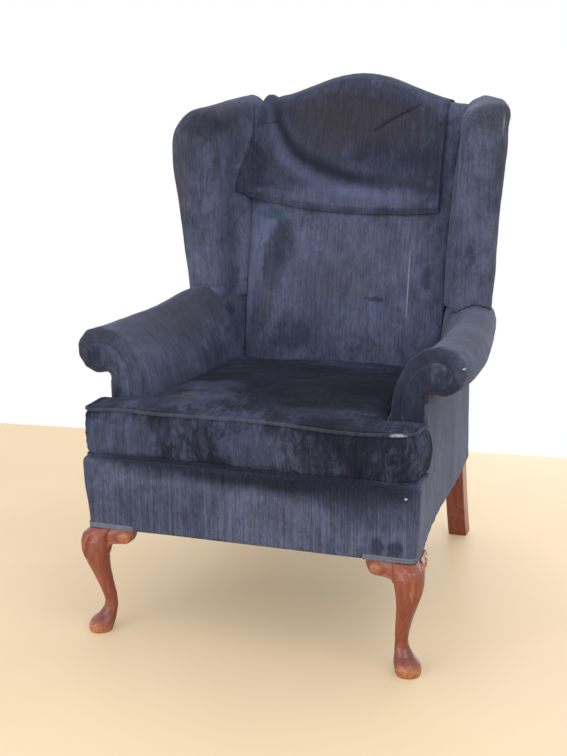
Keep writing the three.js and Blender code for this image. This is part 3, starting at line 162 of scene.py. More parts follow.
def dimmed(colour, share):
    return tuple(c * share for c in colour)


def rows_of(items, field, width=3, kind=float):
    """One field of a mesh's items, as an array with a row for each item."""
    out = np.zeros(len(items) * width, kind)
    items.foreach_get(field, out)
    return out.reshape(-1, width)


def points_of(mesh):
    return rows_of(mesh.vertices, "co")


def normals_of(mesh):
    return rows_of(mesh.vertex_normals, "vector")


def set_points(mesh, co):
    mesh.vertices.foreach_set("co", np.ascontiguousarray(co, dtype=np.float32).ravel())
    mesh.update()


def smooth_faces(mesh):
    mesh.polygons.foreach_set("use_smooth", [True] * len(mesh.polygons))
    mesh.update()


def edited(mesh, change):
    """Runs change(work) on a mesh that is opened for editing."""
    work = bmesh.new()
    work.from_mesh(mesh)
    change(work)
    work.to_mesh(mesh)
    work.free()
    return mesh


def new_piece(name, mesh):
    mesh.name = name
    piece = bpy.data.objects.new(name, mesh)
    bpy.context.scene.collection.objects.link(piece)
    return piece


def built(name, points, faces):
    """A new piece from points and faces, with its normals outward."""
    mesh = bpy.data.meshes.new(name)
    mesh.from_pydata([tuple(p) for p in points], [], faces)
    edited(mesh, lambda work: bmesh.ops.recalc_face_normals(work, faces=work.faces))
    smooth_faces(mesh)
    return new_piece(name, mesh)


def swept(name, points, ring):
    """A closed skin over rings of points that follow each other."""
    faces = []
    last = len(points) - ring
    for a in range(0, last, ring):
        for k in range(ring):
            n = (k + 1) % ring
            faces.append((a + k, a + n, a + ring + n, a + ring + k))
    return built(name, points, faces + [tuple(range(ring)), tuple(range(last, last + ring))])


def welded_mesh(node):
    """The node's mesh with its split corners joined."""
    mesh = frame["nodes"][node].data.copy()
    mesh.materials.clear()
    return edited(mesh, lambda work: bmesh.ops.remove_doubles(
        work, verts=work.verts, dist=WELD_DISTANCE))


def search_tree(meshes):
    """One search tree of several meshes."""
    verts, faces = [], []
    for mesh in meshes:
        first = len(verts)
        verts += [v.co.copy() for v in mesh.vertices]
        faces += [tuple(first + i for i in p.vertices) for p in mesh.polygons]
    return BVHTree.FromPolygons(verts, faces)


def remeshed(piece, step):
    """Rebuilds a piece's mesh from evenly spaced points."""
    grain = piece.modifiers.new("grain", "REMESH")
    grain.mode = "VOXEL"
    grain.voxel_size = step
    shown = piece.evaluated_get(bpy.context.evaluated_depsgraph_get())
    old, mesh = piece.data, bpy.data.meshes.new_from_object(shown)
    piece.modifiers.clear()
    mesh.name = piece.name
    piece.data = mesh
    bpy.data.meshes.remove(old)
    return mesh


def relaxed(co, edges, rounds, keep):
    """Evens a mesh out; keep is how much of each round's loss is given back."""
    strength = 0.5
    count = len(co)
    degree = np.maximum(np.bincount(edges.ravel(), minlength=count), 1)[:, None]
    for turn in range(rounds * 2):
        mean = np.empty_like(co)
        for k in range(3):
            mean[:, k] = (np.bincount(edges[:, 0], co[edges[:, 1], k], count)
                          + np.bincount(edges[:, 1], co[edges[:, 0], k], count))
        push = strength if turn % 2 == 0 else -strength * keep
        co = co + (mean / degree - co) * push
    return co


def fractal(co, scale, seed):
    """Smooth noise from -1 to 1 at each point; scale is one number or three, in turns per metre."""
    rng = random.Random(seed)
    offset = np.array([rng.uniform(-50, 50) for _ in range(3)])
    places = co * np.array(scale) + offset
    roughness, lacunarity, octaves = 1.0, 2.0, 3
    return np.array([noise.fractal(Vector(p), roughness, lacunarity, octaves) for p in places])


def bell(distance, width):
    return np.exp(-(distance / width) ** 2)


def ramp(value, low, high):
    """Rises smoothly from zero at low to one at high."""
    share = np.clip((value - low) / (high - low), 0, 1)
    return share * share * (3 - 2 * share)


def along(axis, values):
    """Moves of the given lengths along one axis."""
    out = np.zeros((len(values), 3))
    out[:, axis] = values
    return out


SEAM_SEARCH = 50 * MM
SEAM_REACH = 9 * MM
SEAM_HOLD = 0.85
SEAM_PUSH = 0.5 * MM


def soft_piece(node, name, step, rounds, thicken=None, against=(), keep=1.04):
    """A padded piece in a node's place: even mesh, soft edges, tight seams to its neighbours."""
    mesh = welded_mesh(node)
    piece = new_piece(name, mesh)
    if thicken is not None:
        co = points_of(mesh)
        co[normals_of(mesh) @ np.array(thicken) > 0] += np.array(thicken)
        set_points(mesh, co)
    mesh = remeshed(piece, step)
    before = points_of(mesh)
    after = relaxed(before, rows_of(mesh.edges, "vertices", 2, int), rounds, keep)
    if against:
        tree = search_tree([frame["nodes"][other].data for other in against])
        gaps = np.array([tree.find_nearest(Vector(p), SEAM_SEARCH)[3] or SEAM_SEARCH
                         for p in before])
        held = ramp(gaps, SEAM_REACH, 1.5 * MM)[:, None] * SEAM_HOLD
        after = after * (1 - held) + before * held
        set_points(mesh, after)
        after = after + normals_of(mesh) * held * SEAM_PUSH
    set_points(mesh, after)
    smooth_faces(mesh)
    return piece


def shape_detail(piece, detail):
    """Moves each point along its normal by detail(points, normals), in metres."""
    mesh = piece.data
    co, normals = points_of(mesh), normals_of(mesh)
    set_points(mesh, co + normals * detail(co, normals)[:, None])


def moved(piece, shift):
    """Moves each point by shift(points), in metres."""
    co = points_of(piece.data)
    set_points(piece.data, co + shift(co))


def finish_piece(piece, node, body, material):
    """Gives a piece its finish, and lets it stand for a node and ride on a body."""
    piece.data.materials.clear()
    piece.data.materials.append(material)
    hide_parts(node)
    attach(piece, body)
    return piece


def upholster(node, name, slot, step, rounds, detail=None, shifts=(), body="chair",
              material=None, padded=None, **fit):
    """A soft piece with its relief, its settling and its finish."""
    piece = soft_piece(node, name, step, rounds, **fit)
    if detail:
        shape_detail(piece, detail)
    for shift in shifts:
        moved(piece, shift)
    return finish_piece(piece, node, body, material or worn_velvet(slot))


def paint(name, material, bevel=0.0):
    """Gives a CAD node that stays its finish, and eases its edges."""
    node = frame["nodes"][name]
    node.data.materials.clear()
    node.data.materials.append(material)
    if bevel:
        weld = node.modifiers.new("joined corners", "WELD")
        weld.merge_threshold = WELD_DISTANCE
        ease = node.modifiers.new("eased edges", "BEVEL")
        ease.width = bevel
        ease.segments = 3
        ease.angle_limit = math.radians(35)


def cord(name, points, radius, sides, body, slot):
    """A thin cord along points, used for welts and stitches."""
    centres = [Vector(p) for p in points]
    verts = []
    for i, here in enumerate(centres):
        run = centres[min(i + 1, len(centres) - 1)] - centres[max(i - 1, 0)]
        run.normalize()
        side = run.cross(UP)
        side = side.normalized() if side.length > 1e-4 else Vector((1, 0, 0))
        lift = side.cross(run).normalized()
        for k in range(sides):
            angle = 2 * math.pi * k / sides
            verts.append(here + (side * math.cos(angle) + lift * math.sin(angle)) * radius)
    piece = swept(name, verts, sides)
    piece.data.materials.append(worn_velvet(slot))
    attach(piece, body)
    return piece


def resampled(points, step, closed=True):
    """Points spread evenly along a line."""
    path = [Vector(p) for p in points]
    if closed:
        path.append(path[0])
    lengths = [0.0]
    for a, b in zip(path, path[1:]):
        lengths.append(lengths[-1] + (b - a).length)
    total = lengths[-1]
    count = max(8, round(total / step))
    out, k = [], 0
    for i in range(count if closed else count + 1):
        target = min(total * i / count, total - 1e-9)
        while lengths[k + 1] < target:
            k += 1
        share = (target - lengths[k]) / max(lengths[k + 1] - lengths[k], 1e-9)
        out.append(path[k].lerp(path[k + 1], share))
    return out


def front_rim(node):
    """The outline of a node's front face, as an ordered loop of points."""
    limit = 0.9
    work = bmesh.new()
    work.from_mesh(welded_mesh(node))
    work.normal_update()
    facing = {f.index for f in work.faces if -f.normal.y > limit}
    links = {}
    for edge in work.edges:
        if sum(f.index in facing for f in edge.link_faces) == 1:
            a, b = (v.index for v in edge.verts)
            links.setdefault(a, []).append(b)
            links.setdefault(b, []).append(a)
    places = {v.index: v.co.copy() for v in work.verts}
    work.free()
    best, left = [], set(links)
    while left:
        loop, onward = [], [min(left)]
        while onward:
            loop.append(onward[0])
            left.discard(onward[0])
            onward = [n for n in links[onward[0]] if n in left]
        best = max(best, loop, key=len)
    return [places[i] for i in best]


class Nodes:
    """Short calls that add nodes to a node tree."""

    def __init__(self, tree):
        self.tree = tree

    def node(self, kind, **values):
        node = self.tree.nodes.new(kind)
        for key, value in values.items():
            setattr(node, key, value)
        return node

    def link(self, source, target):
        if isinstance(source, bpy.types.NodeSocket):
            self.tree.links.new(source, target)
        else:
            target.default_value = source

    def math(self, operation, *values, clamp=False):
        node = self.node("ShaderNodeMath", operation=operation, use_clamp=clamp)
        for value, socket in zip(values, node.inputs):
            self.link(value, socket)
        return node.outputs[0]

    def lamp(self, kind, colour, strength=1.0):
        """An Emission or Background shader."""
        node = self.node(kind)
        node.inputs["Color"].default_value = (*colour, 1)
        node.inputs["Strength"].default_value = strength
        return node.outputs[0]

    def shader_mix(self, share, a, b, target):
        node = self.node("ShaderNodeMixShader")
        for value, socket in zip((share, a, b), node.inputs):
            self.link(value, socket)
        self.link(node.outputs[0], target)


class Finish(Nodes):
    """A procedural material under construction."""

    def __init__(self, name, roughness, **fixed):
        self.material = bpy.data.materials.new(name)
        self.material.use_nodes = True
        super().__init__(self.material.node_tree)
        self.shader = self.tree.nodes["Principled BSDF"]
        self.shader.inputs["Roughness"].default_value = roughness
        for socket, value in fixed.items():
            self.shader.inputs[socket.replace("_", " ")].default_value = value
        self.place = self.node("ShaderNodeTexCoord").outputs["Object"]

    def noise(self, scale, detail, rough, distortion=0.0, offset=0.0):
        mapping = self.node("ShaderNodeMapping")
        self.link(self.place, mapping.inputs["Vector"])
        mapping.inputs["Scale"].default_value = scale if hasattr(scale, "__len__") else (scale,) * 3
        mapping.inputs["Location"].default_value = (offset, offset * 1.7, offset * 0.6)
        texture = self.node("ShaderNodeTexNoise")
        self.link(mapping.outputs["Vector"], texture.inputs["Vector"])
        settings = {"Scale": 1.0, "Detail": detail, "Roughness": rough, "Distortion": distortion}
        for name, value in settings.items():
            texture.inputs[name].default_value = value
        return texture.outputs["Fac"]

    def summed(self, *shares):
        """The sum of (value, weight) pairs."""
        total = 0.0
        for value, weight in shares:
            total = self.math("ADD", total, self.math("MULTIPLY", value, weight))
        return total

    def spread(self, value, low, high, start=0.0, end=1.0, smooth=True):
        """Runs from start to end while the value runs from low to high."""
        node = self.node("ShaderNodeMapRange", clamp=True)
        if smooth:
            node.interpolation_type = "SMOOTHSTEP"
        names = ("Value", "From Min", "From Max", "To Min", "To Max")
        for name, source in zip(names, (value, low, high, start, end)):
            self.link(source, node.inputs[name])
        return node.outputs["Result"]

    def mix(self, share, a, b):
        node = self.node("ShaderNodeMix", data_type="RGBA")
        self.link(share, node.inputs["Factor"])
        self.link(self.rgba(a), node.inputs[6])
        self.link(self.rgba(b), node.inputs[7])
        return node.outputs[2]

    @staticmethod
    def rgba(value):
        return value if isinstance(value, bpy.types.NodeSocket) else (*value, 1.0)

    def axis(self, name):
        split = self.node("ShaderNodeSeparateXYZ")
        self.link(self.place, split.inputs[0])
        return split.outputs[name]

    def vector(self, operation, a, b=None):
        node = self.node("ShaderNodeVectorMath", operation=operation)
        self.link(a, node.inputs[0])
        if b is not None:
            node.inputs[1].default_value = b
        return node.outputs["Value" if operation == "LENGTH" else "Vector"]

    def patch(self, centre, radii, share, ragged, grain, soft=0.5):
        """A mask near a place, with a ragged edge; centre and radii are in millimetres."""
        away = self.vector("SUBTRACT", self.place, dimmed(centre, MM))
        length = self.vector("LENGTH", self.vector("DIVIDE", away, dimmed(radii, MM)))
        edge = self.math("MULTIPLY_ADD", self.noise(grain, 3.0, 0.6), ragged * 2, -ragged)
        distance = self.math("ADD", length, edge)
        mask = self.spread(distance, 1.0 - soft, 1.0 + soft * 0.4, 1.0, 0.0)
        return self.math("MULTIPLY", mask, share)

    def curve(self, share, values):
        """A smooth line through (share, value) pairs, all from zero to one."""
        node = self.node("ShaderNodeFloatCurve")
        points = node.mapping.curves[0].points
        for number, (place, value) in enumerate(values):
            point = points[number] if number < 2 else points.new(place, value)
            point.location = (place, value)
        node.mapping.update()
        self.link(share, node.inputs["Value"])
        return node.outputs[0]

    def band(self, line, shift, width):
        """A mask along a line of (x, z) places, moved up by shift and fading at its ends."""
        xs, zs = (np.array(v) for v in zip(*line))
        first, last = float(xs[0]), float(xs[-1])
        span, base, rise = last - first, float(zs.min()), float(np.ptp(zs))
        x = self.axis("X")
        share = self.math("DIVIDE", self.math("SUBTRACT", x, first), span, clamp=True)
        places = (xs - first) / span
        level = self.curve(share, list(zip(places, (zs - base) / rise)))
        level = self.math("ADD", self.math("MULTIPLY", level, rise), base + shift)
        steep = self.curve(share, list(zip(places, 1 / np.sqrt(1 + np.gradient(zs, xs) ** 2))))
        off = self.math("MULTIPLY", self.math("SUBTRACT", self.axis("Z"), level), steep)
        ends = self.math("MULTIPLY", self.spread(x, first - 10 * MM, first + 4 * MM),
                         self.spread(x, last - 0.35 * span, last, 1.0, 0.0))
        return self.math("MULTIPLY", self.spread(self.math("ABSOLUTE", off), 0.0, width, 1.0, 0.0),
                         ends)

    def bump(self, height, strength, distance, under=None):
        node = self.node("ShaderNodeBump")
        node.inputs["Strength"].default_value = strength
        node.inputs["Distance"].default_value = distance
        self.link(height, node.inputs["Height"])
        if under is not None:
            self.link(under, node.inputs["Normal"])
        return node.outputs["Normal"]

    def done(self, colour, normal=None, roughness=None):
        self.link(self.rgba(colour), self.shader.inputs["Base Color"])
        if normal is not None:
            self.link(normal, self.shader.inputs["Normal"])
        if roughness is not None:
            self.link(roughness, self.shader.inputs["Roughness"])
        return self.material


# Fine and broad streaks of the weave, by the way that they run, in turns per metre.
STREAKS = {
    "upright": ((380, 380, 22), (150, 150, 8)),
    "long": ((420, 420, 6), (170, 170, 3)),
    "back": ((380, 24, 22), (150, 10, 8)),
    "long_back": ((420, 8, 6), (170, 5, 3)),
    "arm": ((22, 380, 22), (8, 150, 8)),
    "cushion": ((380, 24, 24), (150, 9, 9)),
}
# Noises of the pile: scale, detail, roughness, distortion, offset.
GRIT = ((190, 190, 120), 3.0, 0.7, 0.5, 41.0)
LIE = ((9, 9, 7), 5.0, 0.62, 0.7, 7.0)
CRUSH = ((42, 42, 30), 5.0, 0.72, 1.0, 13.0)
DIRT = ((5, 5, 4), 4.0, 0.65, 0.5, 19.0)
PILE = (1300, 1.0, 0.5)
SHEEN_TINT = (0.62, 0.70, 0.95, 1.0)

# Folds of the head cover, as lines of (x, z) places on its front, in metres.
SWAG = ((-0.200, 1.000), (-0.189, 0.975), (-0.156, 0.913), (-0.114, 0.872), (-0.065, 0.850),
        (0.031, 0.822), (0.120, 0.808), (0.190, 0.800))
CREASES = (((0.050, 0.935), (0.110, 0.970), (0.170, 1.000)),
           ((-0.045, 1.010), (-0.036, 1.028), (-0.028, 1.045)))

# Marks of wear, soil and nap, and of painted shade and light: centre and radii in mm, tone, share,
# raggedness, grain, and softness if not 0.5.
OUTSIDE_MARKS = (
    ((255, -411, 243), (14, 30, 20), "velvet_dark", 0.75, 0.8, 60),
    ((288, -411, 240), (18, 30, 22), "velvet_dark", 0.75, 0.8, 60),
    ((250, -411, 315), (85, 30, 45), "velvet_dark", 0.5, 0.6, 40),
    # Painted shade along the border's top, under the overhanging cushion (this row and the next).
    ((40, -411, 357), (330, 60, 36), "shadow", 0.95, 0.3, 10),
    ((200, -411, 350), (190, 60, 44), "shadow", 0.6, 0.4, 14),
    ((-200, -411, 270), (150, 30, 60), "velvet_dark", 0.22, 0.8, 14),
    # Painted shade: a dark strip along the border's top edge, under the cushion's piping.
    ((-120, -411, 359), (280, 50, 12), "velvet_dark", 0.8, 0.4, 20),
    # Painted light: the right outside panel lightened, as lit from the right.
    ((345, -20, 340), (40, 360, 200), "velvet_light", 0.22, 0.5, 8),
    ((307, -411, 338), (3, 6, 2.2), "piping_worn", 0.8, 0.5, 300),
)
ARM_MARKS = (
    ((-246, 145, 548), (13, 18, 16), "velvet_dark", 0.75, 0.8, 90),
    ((-300, -30, 570), (100, 235, 70), "arm_soil", 0.7, 0.5, 20),
    ((-335, -307, 530), (85, 22, 85), "velvet_dark", 0.5, 0.5, 40),
    # Painted shade where the left arm meets the cushion.
    ((-235, 26, 465), (30, 75, 35), "velvet_dark", 0.6, 0.6, 50),
    ((-360, -250, 560), (30, 50, 45), "velvet_light", 0.4, 0.6, 40),
    ((360, -60, 580), (40, 210, 40), "velvet_soil", 0.55, 0.5, 30),
    ((300, -307, 520), (90, 22, 95), "velvet_dark", 0.8, 0.5, 40),
    ((385, -303, 553), (6, 6, 2.2), "piping_worn", 0.9, 0.4, 300),
    ((268, -307, 475), (34, 40, 60), "velvet_dark", 0.8, 0.6, 50),
    ((-346, -306, 532), (2, 6, 3), "piping_worn", 0.8, 0.3, 300),
)
BACK_MARKS = (
    # Painted light: the middle of the inside back lightened, as lit from the front.
    ((0, 200, 640), (230, 60, 190), "velvet_light", 0.22, 0.5, 20),
    ((-205, 225, 725), (44, 60, 45), "velvet_light", 0.55, 0.3, 60, 0.3),
    ((-218, 215, 650), (32, 60, 70), "velvet_light", 0.55, 0.3, 60, 0.3),
    ((-228, 205, 560), (20, 60, 90), "velvet_light", 0.45, 0.3, 60, 0.3),
    ((-142, 205, 700), (36, 50, 58), "velvet_dark", 0.55, 0.6, 70),
    ((-163, 200, 632), (32, 50, 60), "velvet_dark", 0.5, 0.6, 70),
    ((-178, 235, 752), (44, 50, 12), "velvet_teal", 0.65, 0.6, 60),
    ((-176, 192, 560), (20, 40, 45), "velvet_soil", 0.5, 0.7, 60),
    ((7, 198, 626), (85, 50, 65), "velvet_soil", 0.38, 0.7, 40),
    ((78, 190, 577), (26, 40, 6), "velvet_dark", 0.6, 0.9, 90),
    ((190, 205, 625), (12, 50, 30), "velvet_dark", 0.55, 0.9, 90),
    ((173, 211, 664), (10, 50, 14), "velvet_dark", 0.4, 0.9, 90),
    ((150, 200, 610), (1.6, 60, 85), "piping_worn", 0.35, 0.25, 40, 0.4),
    ((-105, 180, 490), (55, 50, 35), "velvet_dark", 0.45, 0.7, 50),
    ((-285, 160, 975), (85, 120, 50), "wing_soil", 0.85, 0.5, 30),
    ((-325, 130, 925), (50, 60, 60), "wing_soil", 0.6, 0.7, 30),
    ((-300, 150, 950), (55, 100, 28), "velvet_dark", 0.6, 0.9, 40),
    ((-345, 150, 830), (22, 60, 90), "velvet_soil", 0.6, 0.7, 40),
    ((-272, 130, 640), (60, 60, 60), "velvet_light", 0.35, 0.6, 30),
    ((-262, 142, 700), (14, 20, 8), "velvet_dark", 0.4, 0.9, 90),
    ((300, 124, 692), (12, 30, 30), "velvet_dark", 0.5, 0.9, 80),
    ((358.5, 160, 955), (1.8, 30, 26), "piping_worn", 0.55, 0.6, 160),
    ((310, 130, 600), (40, 60, 40), "velvet_light", 0.3, 0.7, 40),
    ((335, 190, 975), (50, 120, 55), "wing_soil", 0.75, 0.6, 30),
    ((350, 160, 880), (20, 60, 80), "wing_soil", 0.5, 0.8, 40),
    ((-294, 124, 598), (2, 10, 2), "piping_worn", 0.9, 0.3, 300),
)
FACING_MARKS = (
    ((300, -312, 490), (60, 30, 90), "velvet_dark", 0.92, 0.5, 50),
    ((-300, -312, 420), (28, 30, 55), "velvet_dark", 0.7, 0.6, 60),
    ((-335, -312, 500), (85, 30, 120), "velvet_dark", 0.5, 0.5, 40),
)
CUSHION_MARKS = (
    # Crushed pile and painted shade: the top darkened for its lie of pile and as shaded between the
    # arms and back.
    ((40, -110, 465), (330, 250, 60), "cushion_dark", 0.85, 0.4, 12),
    ((-148, -300, 464), (34, 30, 30), "cushion_soil", 0.65, 1, 55),
    ((-105, -285, 464), (45, 50, 30), "cushion_light", 0.3, 0.8, 40),
    ((-140, -212, 464), (75, 50, 30), "cushion_light", 0.25, 0.8, 35),
    ((-205, -350, 460), (90, 35, 30), "cushion_light", 0.2, 0.8, 40),
    ((130, -330, 464), (100, 30, 30), "cushion_light", 0.18, 0.8, 30),
    ((-250, -404, 400), (95, 30, 55), "cushion_light", 0.45, 0.7, 30),
    ((-77, -404, 400), (26, 30, 50), "cushion_dark", 0.45, 0.7, 50),
    ((20, -404, 395), (80, 30, 35), "cushion_light", 0.35, 0.8, 40),
    ((230, -404, 405), (100, 30, 50), "cushion_dark", 0.22, 0.7, 30),
)
PIPING_MARKS = (
    ((290, -400, 444), (17, 10, 10), "piping_worn", 0.65, 0.7, 160),
    # Painted shade: the lower piping darkened under the cushion's swelling wall.
    ((0, -400, 355), (360, 40, 40), "cushion_dark", 0.75, 0.4, 30),
    ((-60, -400, 446), (260, 12, 12), "velvet_soil", 0.3, 0.9, 90),
)
COVER_MARKS = (
    ((20, 290, 955), (190, 120, 75), "head_cloth_soil", 0.8, 0.6, 14),
    ((100, 240, 880), (120, 80, 40), "velvet_dark", 0.45, 0.7, 25),
    # Painted shade down the head cover's left flap, beside the wing.
    ((-215, 240, 850), (28, 60, 50), "velvet_dark", 0.45, 0.6, 40),
    ((10, 224, 795), (215, 50, 28), "head_cloth_light", 0.65, 0.6, 30),
)
# Painted highlight and painted shade along the folds: line, shift up, width, tone, share.
COVER_BANDS = (
    # Painted highlight on the swag's ridge; painted shade in its hollow and in the creases.
    (SWAG[:7], -26 * MM, 26 * MM, "head_cloth_light", 0.45),
    (SWAG[:7], 10 * MM, 24 * MM, "fold", 0.75),
    (CREASES[0], 0.0, 5 * MM, "fold", 0.8),
    (CREASES[1], 0.0, 4 * MM, "fold", 0.5),
)

OUTSIDE = dict(nap=0.30, soiling=0.15, contrast=0.38, marks=OUTSIDE_MARKS)
BACK = dict(nap=0.42, soiling=0.25, contrast=0.22, marks=BACK_MARKS)
VELVETS = {
    "outside_velvet": dict(run="long", **OUTSIDE),
    "outer_back": dict(run="long_back", **OUTSIDE),
    "back_velvet": dict(run="back", **BACK),
    "wing_velvet": dict(run="upright", **BACK),
    "arm_velvet": dict(run="arm", nap=0.40, soiling=0.35, contrast=0.22, marks=ARM_MARKS),
    "facing_velvet": dict(run="upright", nap=0.9, soiling=0.1, contrast=0.25, marks=FACING_MARKS),
    "cushion_velvet": dict(
        run="cushion", nap=0.62, soiling=0.15, contrast=0.22, sheen=0.03, marks=CUSHION_MARKS,
        tones=("cushion", "cushion_light", "cushion_dark", "velvet_soil")),
    "cushion_piping": dict(
        run="cushion", nap=0.4, soiling=0.3, contrast=0.2, marks=PIPING_MARKS,
        tones=("head_cloth", "cushion_light", "cushion_dark", "velvet_soil")),
    "head_cloth": dict(
        run="back", nap=0.35, soiling=0.4, contrast=0.20, marks=COVER_MARKS, bands=COVER_BANDS,
        tones=("head_cloth", "head_cloth_light", "velvet_dark", "head_cloth_soil")),
}

finishes = {}


def worn_velvet(name):
    """One of the velvets by name, made once."""
    if name not in finishes:
        finishes[name] = velvet(name, **VELVETS[name])
    return finishes[name]


def velvet(name, run, nap, soiling, contrast, marks, bands=(), sheen=0.14,
           tones=("velvet", "velvet_light", "velvet_dark", "velvet_soil")):
    """Velvet with woven streaks, brushed and crushed nap, soil, worn places, painted shade and
    light in places, and painted shade and highlight along folds.
    """
    main, light, dark, soil = (col(tone) for tone in tones)
    finish = Finish(name, 0.95, Sheen_Weight=sheen, Sheen_Roughness=0.5,
                    Sheen_Tint=SHEEN_TINT, Specular_IOR_Level=0.08)
    fine = finish.noise(STREAKS[run][0], 2.0, 0.6)
    broad = finish.noise(STREAKS[run][1], 3.0, 0.65, offset=3.0)
    weave = finish.summed((fine, 0.45), (broad, 0.3), (finish.noise(*GRIT), 0.25))
    strie = finish.spread(weave, 0.40, 0.60)
    brushed = finish.summed((finish.noise(*LIE), 0.55), (finish.noise(*CRUSH), 0.45))
    brushed = finish.spread(brushed, 0.38, 0.62, 0.5 - nap / 2, 0.5 + nap / 2)
    value = finish.summed((brushed, 1.0), (strie, contrast), (1.0, -contrast / 2))
    depth = 1.0 - contrast * 0.8

    def streaked(tone, top=1.0):
        return finish.mix(strie, dimmed(tone, depth), dimmed(tone, top))

    colour = finish.mix(finish.spread(value, 0.0, 0.5, smooth=False), dark, main)
    colour = finish.mix(finish.spread(value, 0.5, 1.1, smooth=False), colour, light)
    soiled = finish.spread(finish.noise(*DIRT), 0.46, 0.68, 0.0, soiling)
    colour = finish.mix(soiled, colour, streaked(soil))
    # Marks of wear, soil and nap, and some of painted shade and painted light.
    for centre, radii, tone, share, *edge in marks:
        mask = finish.patch(centre, radii, share, *edge)
        colour = finish.mix(mask, colour, streaked(col(tone), 2.0 - depth))
    # Painted highlight and painted shade along the head cover's folds.
    for line, shift, width, tone, share in bands:
        strength = finish.math("MULTIPLY", finish.band(line, shift, width), share)
        colour = finish.mix(strength, colour, streaked(col(tone)))
    ribs = finish.bump(weave, 0.2 + contrast * 0.4, 1.2 * MM)
    return finish.done(colour, finish.bump(finish.noise(*PILE), 0.25, 0.6 * MM, under=ribs))


def wood(name, main, dark, worn, polish=0.32, wear=(), cloth=None):
    """Polished upright wood with grain, scratches and worn places, and cloth above a height."""
    finish = Finish(name, polish, Coat_Weight=0.35, Coat_Roughness=0.24, Specular_IOR_Level=0.45)
    lines = finish.noise((60, 60, 5), 5.0, 0.65, 1.2)
    fine = finish.noise((360, 360, 30), 2.0, 0.6, offset=5.0)
    patches = finish.noise((14, 14, 9), 3.0, 0.6, 0.6, offset=9.0)
    scratches = finish.noise((260, 260, 30), 2.0, 0.5, 0.8, offset=23.0)
    blotch = finish.noise(150, 4.0, 0.65, 0.6, offset=31.0)
    colour = finish.mix(finish.spread(lines, 0.36, 0.66), dark, main)
    colour = finish.mix(finish.spread(fine, 0.5, 0.75, 0.0, 0.2), colour, dark)
    colour = finish.mix(finish.spread(patches, 0.55, 0.80, 0.0, 0.25), colour, worn)
    colour = finish.mix(finish.spread(scratches, 0.72, 0.76, 0.0, 0.55), colour, worn)
    for centre, radii, tone, share, *edge in wear:
        rubbed = finish.math("MULTIPLY", finish.patch(centre, radii, share, *edge),
                             finish.spread(blotch, 0.35, 0.60, 0.3, 1.0))
        colour = finish.mix(rubbed, colour, tone)
    rough = finish.spread(patches, 0.4, 0.7, polish, polish + 0.25)
    if cloth:
        height, tone = cloth
        covered = finish.spread(finish.axis("Z"), height, height + MM)
        colour = finish.mix(covered, colour, tone)
        rough = finish.math("MAXIMUM", rough, covered)
    return finish.done(colour, finish.bump(lines, 0.12, 0.6 * MM), rough)


def woven(name, tone, dark_share, threads):
    """Plain weave with two crossed sets of threads, so many to the metre."""
    finish = Finish(name, 0.95, Specular_IOR_Level=0.1)
    waves = []
    for axis in "XYZ":
        angle = finish.math("MULTIPLY", finish.axis(axis), threads * math.pi)
        waves.append(finish.math("ABSOLUTE", finish.math("SINE", angle)))
    weave = finish.math("MULTIPLY", finish.math("ADD", waves[0], waves[1]), waves[2])
    mottle = finish.spread(finish.noise(60, 3.0, 0.6), 0.3, 0.7, 0.5, 1.0)
    share = finish.math("MULTIPLY", weave, mottle, clamp=True)
    colour = finish.mix(share, dimmed(col(tone), dark_share), col(tone))
    return finish.done(colour, finish.bump(weave, 0.4, 0.8 * MM))


def metal(name, colour):
    finish = Finish(name, 0.38, Metallic=1.0)
    stain = finish.noise(90, 4.0, 0.6)
    shade = finish.mix(finish.spread(stain, 0.4, 0.7), colour, dimmed(colour, 0.6))
    return finish.done(shade, finish.bump(stain, 0.1, 0.4 * MM),
                       finish.spread(stain, 0.3, 0.7, 0.28, 0.5))


class PieceOperator:
    """Shared by the chair's operators: run() makes the pieces, and an error stops the script."""

    bl_options = {"REGISTER", "UNDO"}

    def execute(self, context):
        self.run(context.scene.chair_sizes)
        return {"FINISHED"}


class CHAIR_OT_frame(PieceOperator, bpy.types.Operator):
    """Finishes the hidden wooden frame and its springs"""

    bl_idname = "chair.frame"
    bl_label = "Frame and springs"

    rails = ("front_seat_rail", "rear_seat_rail", "back_top_rail", "back_lower_rail")
    pairs = ("side_seat_rail", "front_corner_block", "rear_corner_block",
             "arm_post", "arm_rail", "wing_post", "wing_top_rail")

    def run(self, size):
        beech = wood("beech", col("beech"), dimmed(col("beech"), 0.6), col("beech"), polish=0.6)
        for name in (*self.rails, *(f"{pair}_{side}" for pair in self.pairs for side in SIDES)):
            paint(name, beech)
        spring = metal("spring_steel", col("steel"))
        jute = woven("jute", "jute", 0.6, 260.0)
        for name in frame["nodes"]:
            if name.startswith("seat_spring"):
                paint(name, spring)
            if name.startswith("back_webbing"):
                paint(name, jute)


